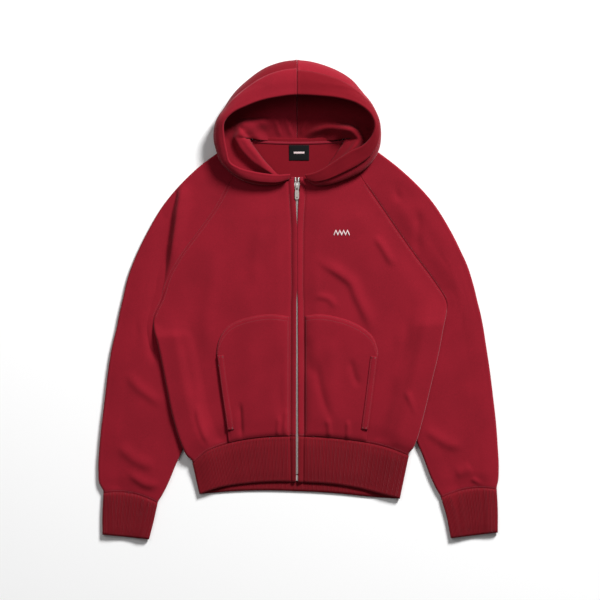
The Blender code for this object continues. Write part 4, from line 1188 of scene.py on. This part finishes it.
def motif(material):
    """The zigzag of satin stitches on the wearer's left chest."""
    count = 2 * MOTIF_PEAKS + 1
    x = MOTIF_AT[0] + np.linspace(-MOTIF_WIDTH / 2, MOTIF_WIDTH / 2, count)
    y = MOTIF_AT[1] + np.where(np.arange(count) % 2, 1, -1) * MOTIF_HEIGHT / 2
    places = np.linspace(x[0], x[-1], 84)
    middle = np.interp(places, x, y)
    z = front_top(places, middle) + front_rise(places, middle) + SEAM + TAPE / 2
    jitter = 0.12 * np.sin(np.arange(len(places)) * 2.4)
    low = np.column_stack([places + jitter, middle - MOTIF_STROKE / 2 + jitter, z])
    high = np.column_stack([places - jitter, middle + MOTIF_STROKE / 2 + jitter, z])
    return strands("embroidery", low, high, (0, 0, 1.0), 0.62, 0.7, material)


def dress(made, stands_for=None):
    """Say what moves a piece and which node it replaces."""
    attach(made, "root")
    if stands_for:
        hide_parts(stands_for)


def cloth(name, grid, thickness, material, stands_for, slot, cut, rests, **how):
    """A cloth piece about its grid, moved with the root and standing in for a node; the cut is not used."""
    made = shell(name, grid, thickness, material, **how)
    dress(made, stands_for)


def studio():
    """Pale floor, soft light from the upper right, and a camera straight above."""
    half = FLOOR_HALF / MM
    corners = [(-half, -half, 0), (half, -half, 0), (half, half, 0), (-half, half, 0)]
    pale = node_material("floor", (FLOOR_SHADE,) * 3, 0.9)[0]
    floor = mesh_piece("floor", corners, [(0, 1, 2, 3)], pale, smooth=False)
    floor.location.z = FLOOR_Z
    world = bpy.data.worlds.new("studio")
    world.use_nodes = True
    background = world.node_tree.nodes["Background"]
    background.inputs["Color"].default_value = (1, 1, 1, 1)
    background.inputs["Strength"].default_value = WORLD_LIGHT
    scene = bpy.context.scene
    scene.world = world
    for name, place, width, power in LIGHTS:
        lamp = bpy.data.lights.new(name, "AREA")
        lamp.shape = "DISK"
        lamp.size = width
        lamp.energy = power
        holder = link(name, lamp)
        holder.location = place
        holder.rotation_mode = "QUATERNION"
        holder.rotation_quaternion = (-mathutils.Vector(place)).to_track_quat("-Z", "Y")
    camera = bpy.data.cameras.new("camera")
    camera.lens = CAMERA_LENS
    camera.sensor_width = CAMERA_SENSOR
    camera.clip_end = 100
    eye = link("camera", camera)
    eye.location = (*VIEW_CENTRE, VIEW_WIDTH * CAMERA_LENS / CAMERA_SENSOR)
    scene.camera = eye
    scene.view_settings.view_transform = "Standard"


def main():
    """Load the frame and dress it."""
    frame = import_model()
    fleece = cloth_material("fleece_face", FLEECE, 0.0012, "X", 0.16, 0.22)
    rib = cloth_material("rib_knit", RIB, 0.0009, "Y", 0.12, 0.2)
    # a darker copy of the fleece, painted shade for the hood's inside and the back
    inside = cloth_material("fleece_inside_painted_shade", FLEECE_INSIDE_PAINTED_SHADE, 0.0018, "X", 0.12)
    tape = cloth_material("woven_tape", TAPE_COLOUR, 0.0008, "Y", 0.3)
    thread = thread_material("red_thread", THREAD)
    metal, chain_metal, tab_metal = (metal_material(name, *look) for name, look in METALS.items())
    black = cloth_material("black_weave", BLACK, 0.0006, "Y", 0.0, 0.3)
    satin = thread_material("pale_thread", PALE, 0.45)

    # the back shows the darker copy of the fleece, painted shade, where it is seen inside the hood
    cloth("back", back_sheet(), CLOTH, inside, "back_panel", "fleece", "back", ["table"], inside=fleece)
    cloth("waistband", hem_sheet(), CLOTH, rib, "hem_band", "rib", "band", ["back_panel"])
    rows, tacks = [], []
    for side in SIGN:
        front, sleeve = front_sheet(side), sleeve_sheet(side)
        pocket, welt = pocket_sheet(side), welt_sheet(side)
        hood, from_rim = hood_sheet(side)
        under = "front_" + side
        for kind, grid, thick, material, stands_for, slot, rests, how in (
                ("front", front, CLOTH, fleece, under, "fleece", ["back_panel"], {}),
                ("sleeve", sleeve, CLOTH, fleece, "sleeve_" + side, "fleece", ["table"], {"closed": True}),
                ("cuff", cuff_sheet(side), CLOTH, rib, "cuff_" + side, "rib", ["table"], {"closed": True}),
                # the hood's inner face takes the darker copy of the fleece, painted shade
                ("hood", hood, CLOTH, fleece, "hood_" + side, "fleece", [under, "sleeve_" + side],
                 {"inside": inside}),
                ("pocket", pocket, CLOTH, fleece, "pocket_" + side, "fleece", [under], {}),
                ("welt", welt, WELT, fleece, "pocket_welt_" + side, "fleece", ["pocket_" + side], {}),
                ("zip_tape", tape_sheet(side), TAPE, tape, "zip_tape_" + side, "tape", [under], {})):
            name = kind + "_" + side + "_cloth"
            cloth(name, grid, thick, material, stands_for, slot, kind, rests, **how)
        rows += seam_rows(side, front, sleeve, hood, from_rim, pocket, welt)
        tacks += bartacks(welt)
    sew("seam_stitches", rows, thread)
    sew("bartacks", tacks, thread, width=0.6, length=WELT_WIDTH * 0.8, pitch=WELT_WIDTH)
    cloth("neck_tape_cloth", neck_tape_sheet(), TAPE, tape, "neck_tape", "tape", "neck_tape", ["back_panel"])
    cloth("label_cloth", label_sheet(), LABEL[2], black, "neck_label", "label", "label", ["back_panel"])
    dress(label_bar(satin))
    dress(motif(satin), "chest_motif")
    dress(teeth(chain_metal), "zip_chain")
    for part in ("zip_slider", "zip_box", "zip_stop_right", "zip_stop_left"):
        frame["nodes"][part].material_slots[0].material = metal
    frame["nodes"]["zip_pull_tab"].material_slots[0].material = tab_metal
    studio()
    bpy.context.view_layer.update()


def bartacks(welt):
    """Close rows of thread across both ends of a pocket's opening."""
    lines = []
    reach = welt[..., 5]
    for end in (3.0, float(reach[-1].mean()) - 3.0):
        for step in range(5):
            points, up = contour(welt, reach, end + 0.75 * (step - 2), axis=0, lift=WELT / 2)
            lines.append((points + up * 0.2, up))
    return lines


def seam_rows(side, front, sleeve, hood, from_rim, pocket, welt):
    """Paths of the stitches on one side: raglan, hem, placket, cuff, hood, pocket and welt."""
    underarm = RAGLAN[side][0][1]
    above = front[int(np.argmin(abs(front[:, 0, 1] - underarm))) + 3:]
    above = above[above[:, 0, 1] < UNDER_HOOD]
    top = sleeve[..., 5].mean(axis=0) > 0.2
    inner = sleeve[int(np.argmin(abs(sleeve[:, 0, 1] - underarm))) + 4:][:, top][:, :40]
    inner = inner[inner[:, 0, 1] < UNDER_HOOD]
    placket = front[front[:, -1, 1] < 205]
    upper = sleeve[:, top]
    outside = hood[:, hood.shape[1] - from_rim.shape[1]:]
    crown = outside[-40:, (from_rim[-1] > 3) & (from_rim[-1] < 62)]
    patch, strip = pocket[4:-4], welt[2:-2]
    return [
        contour(above, above[..., 3], 3.4),
        contour(inner, inner[..., 3], TOPSTITCH),
        contour(front, front[..., 4], TOPSTITCH, axis=0),
        contour(placket, placket[..., 5], PLACKET),
        contour(upper, upper[..., 4], TOPSTITCH, axis=0),
        contour(outside[3:], from_rim[3:], RIM_HEM - 0.6),
        contour(crown, -abs(crown[..., 0]), -3.6, axis=0),
        contour(pocket, pocket[..., 3], TOPSTITCH, axis=0),
        contour(pocket, pocket[..., 3], 9.5, axis=0),
        contour(patch, patch[..., 5], 2.6),
        contour(strip, strip[..., 3], 2.2, lift=WELT / 2),
        contour(strip, strip[..., 4], 1.8, lift=WELT / 2),
    ]


main()
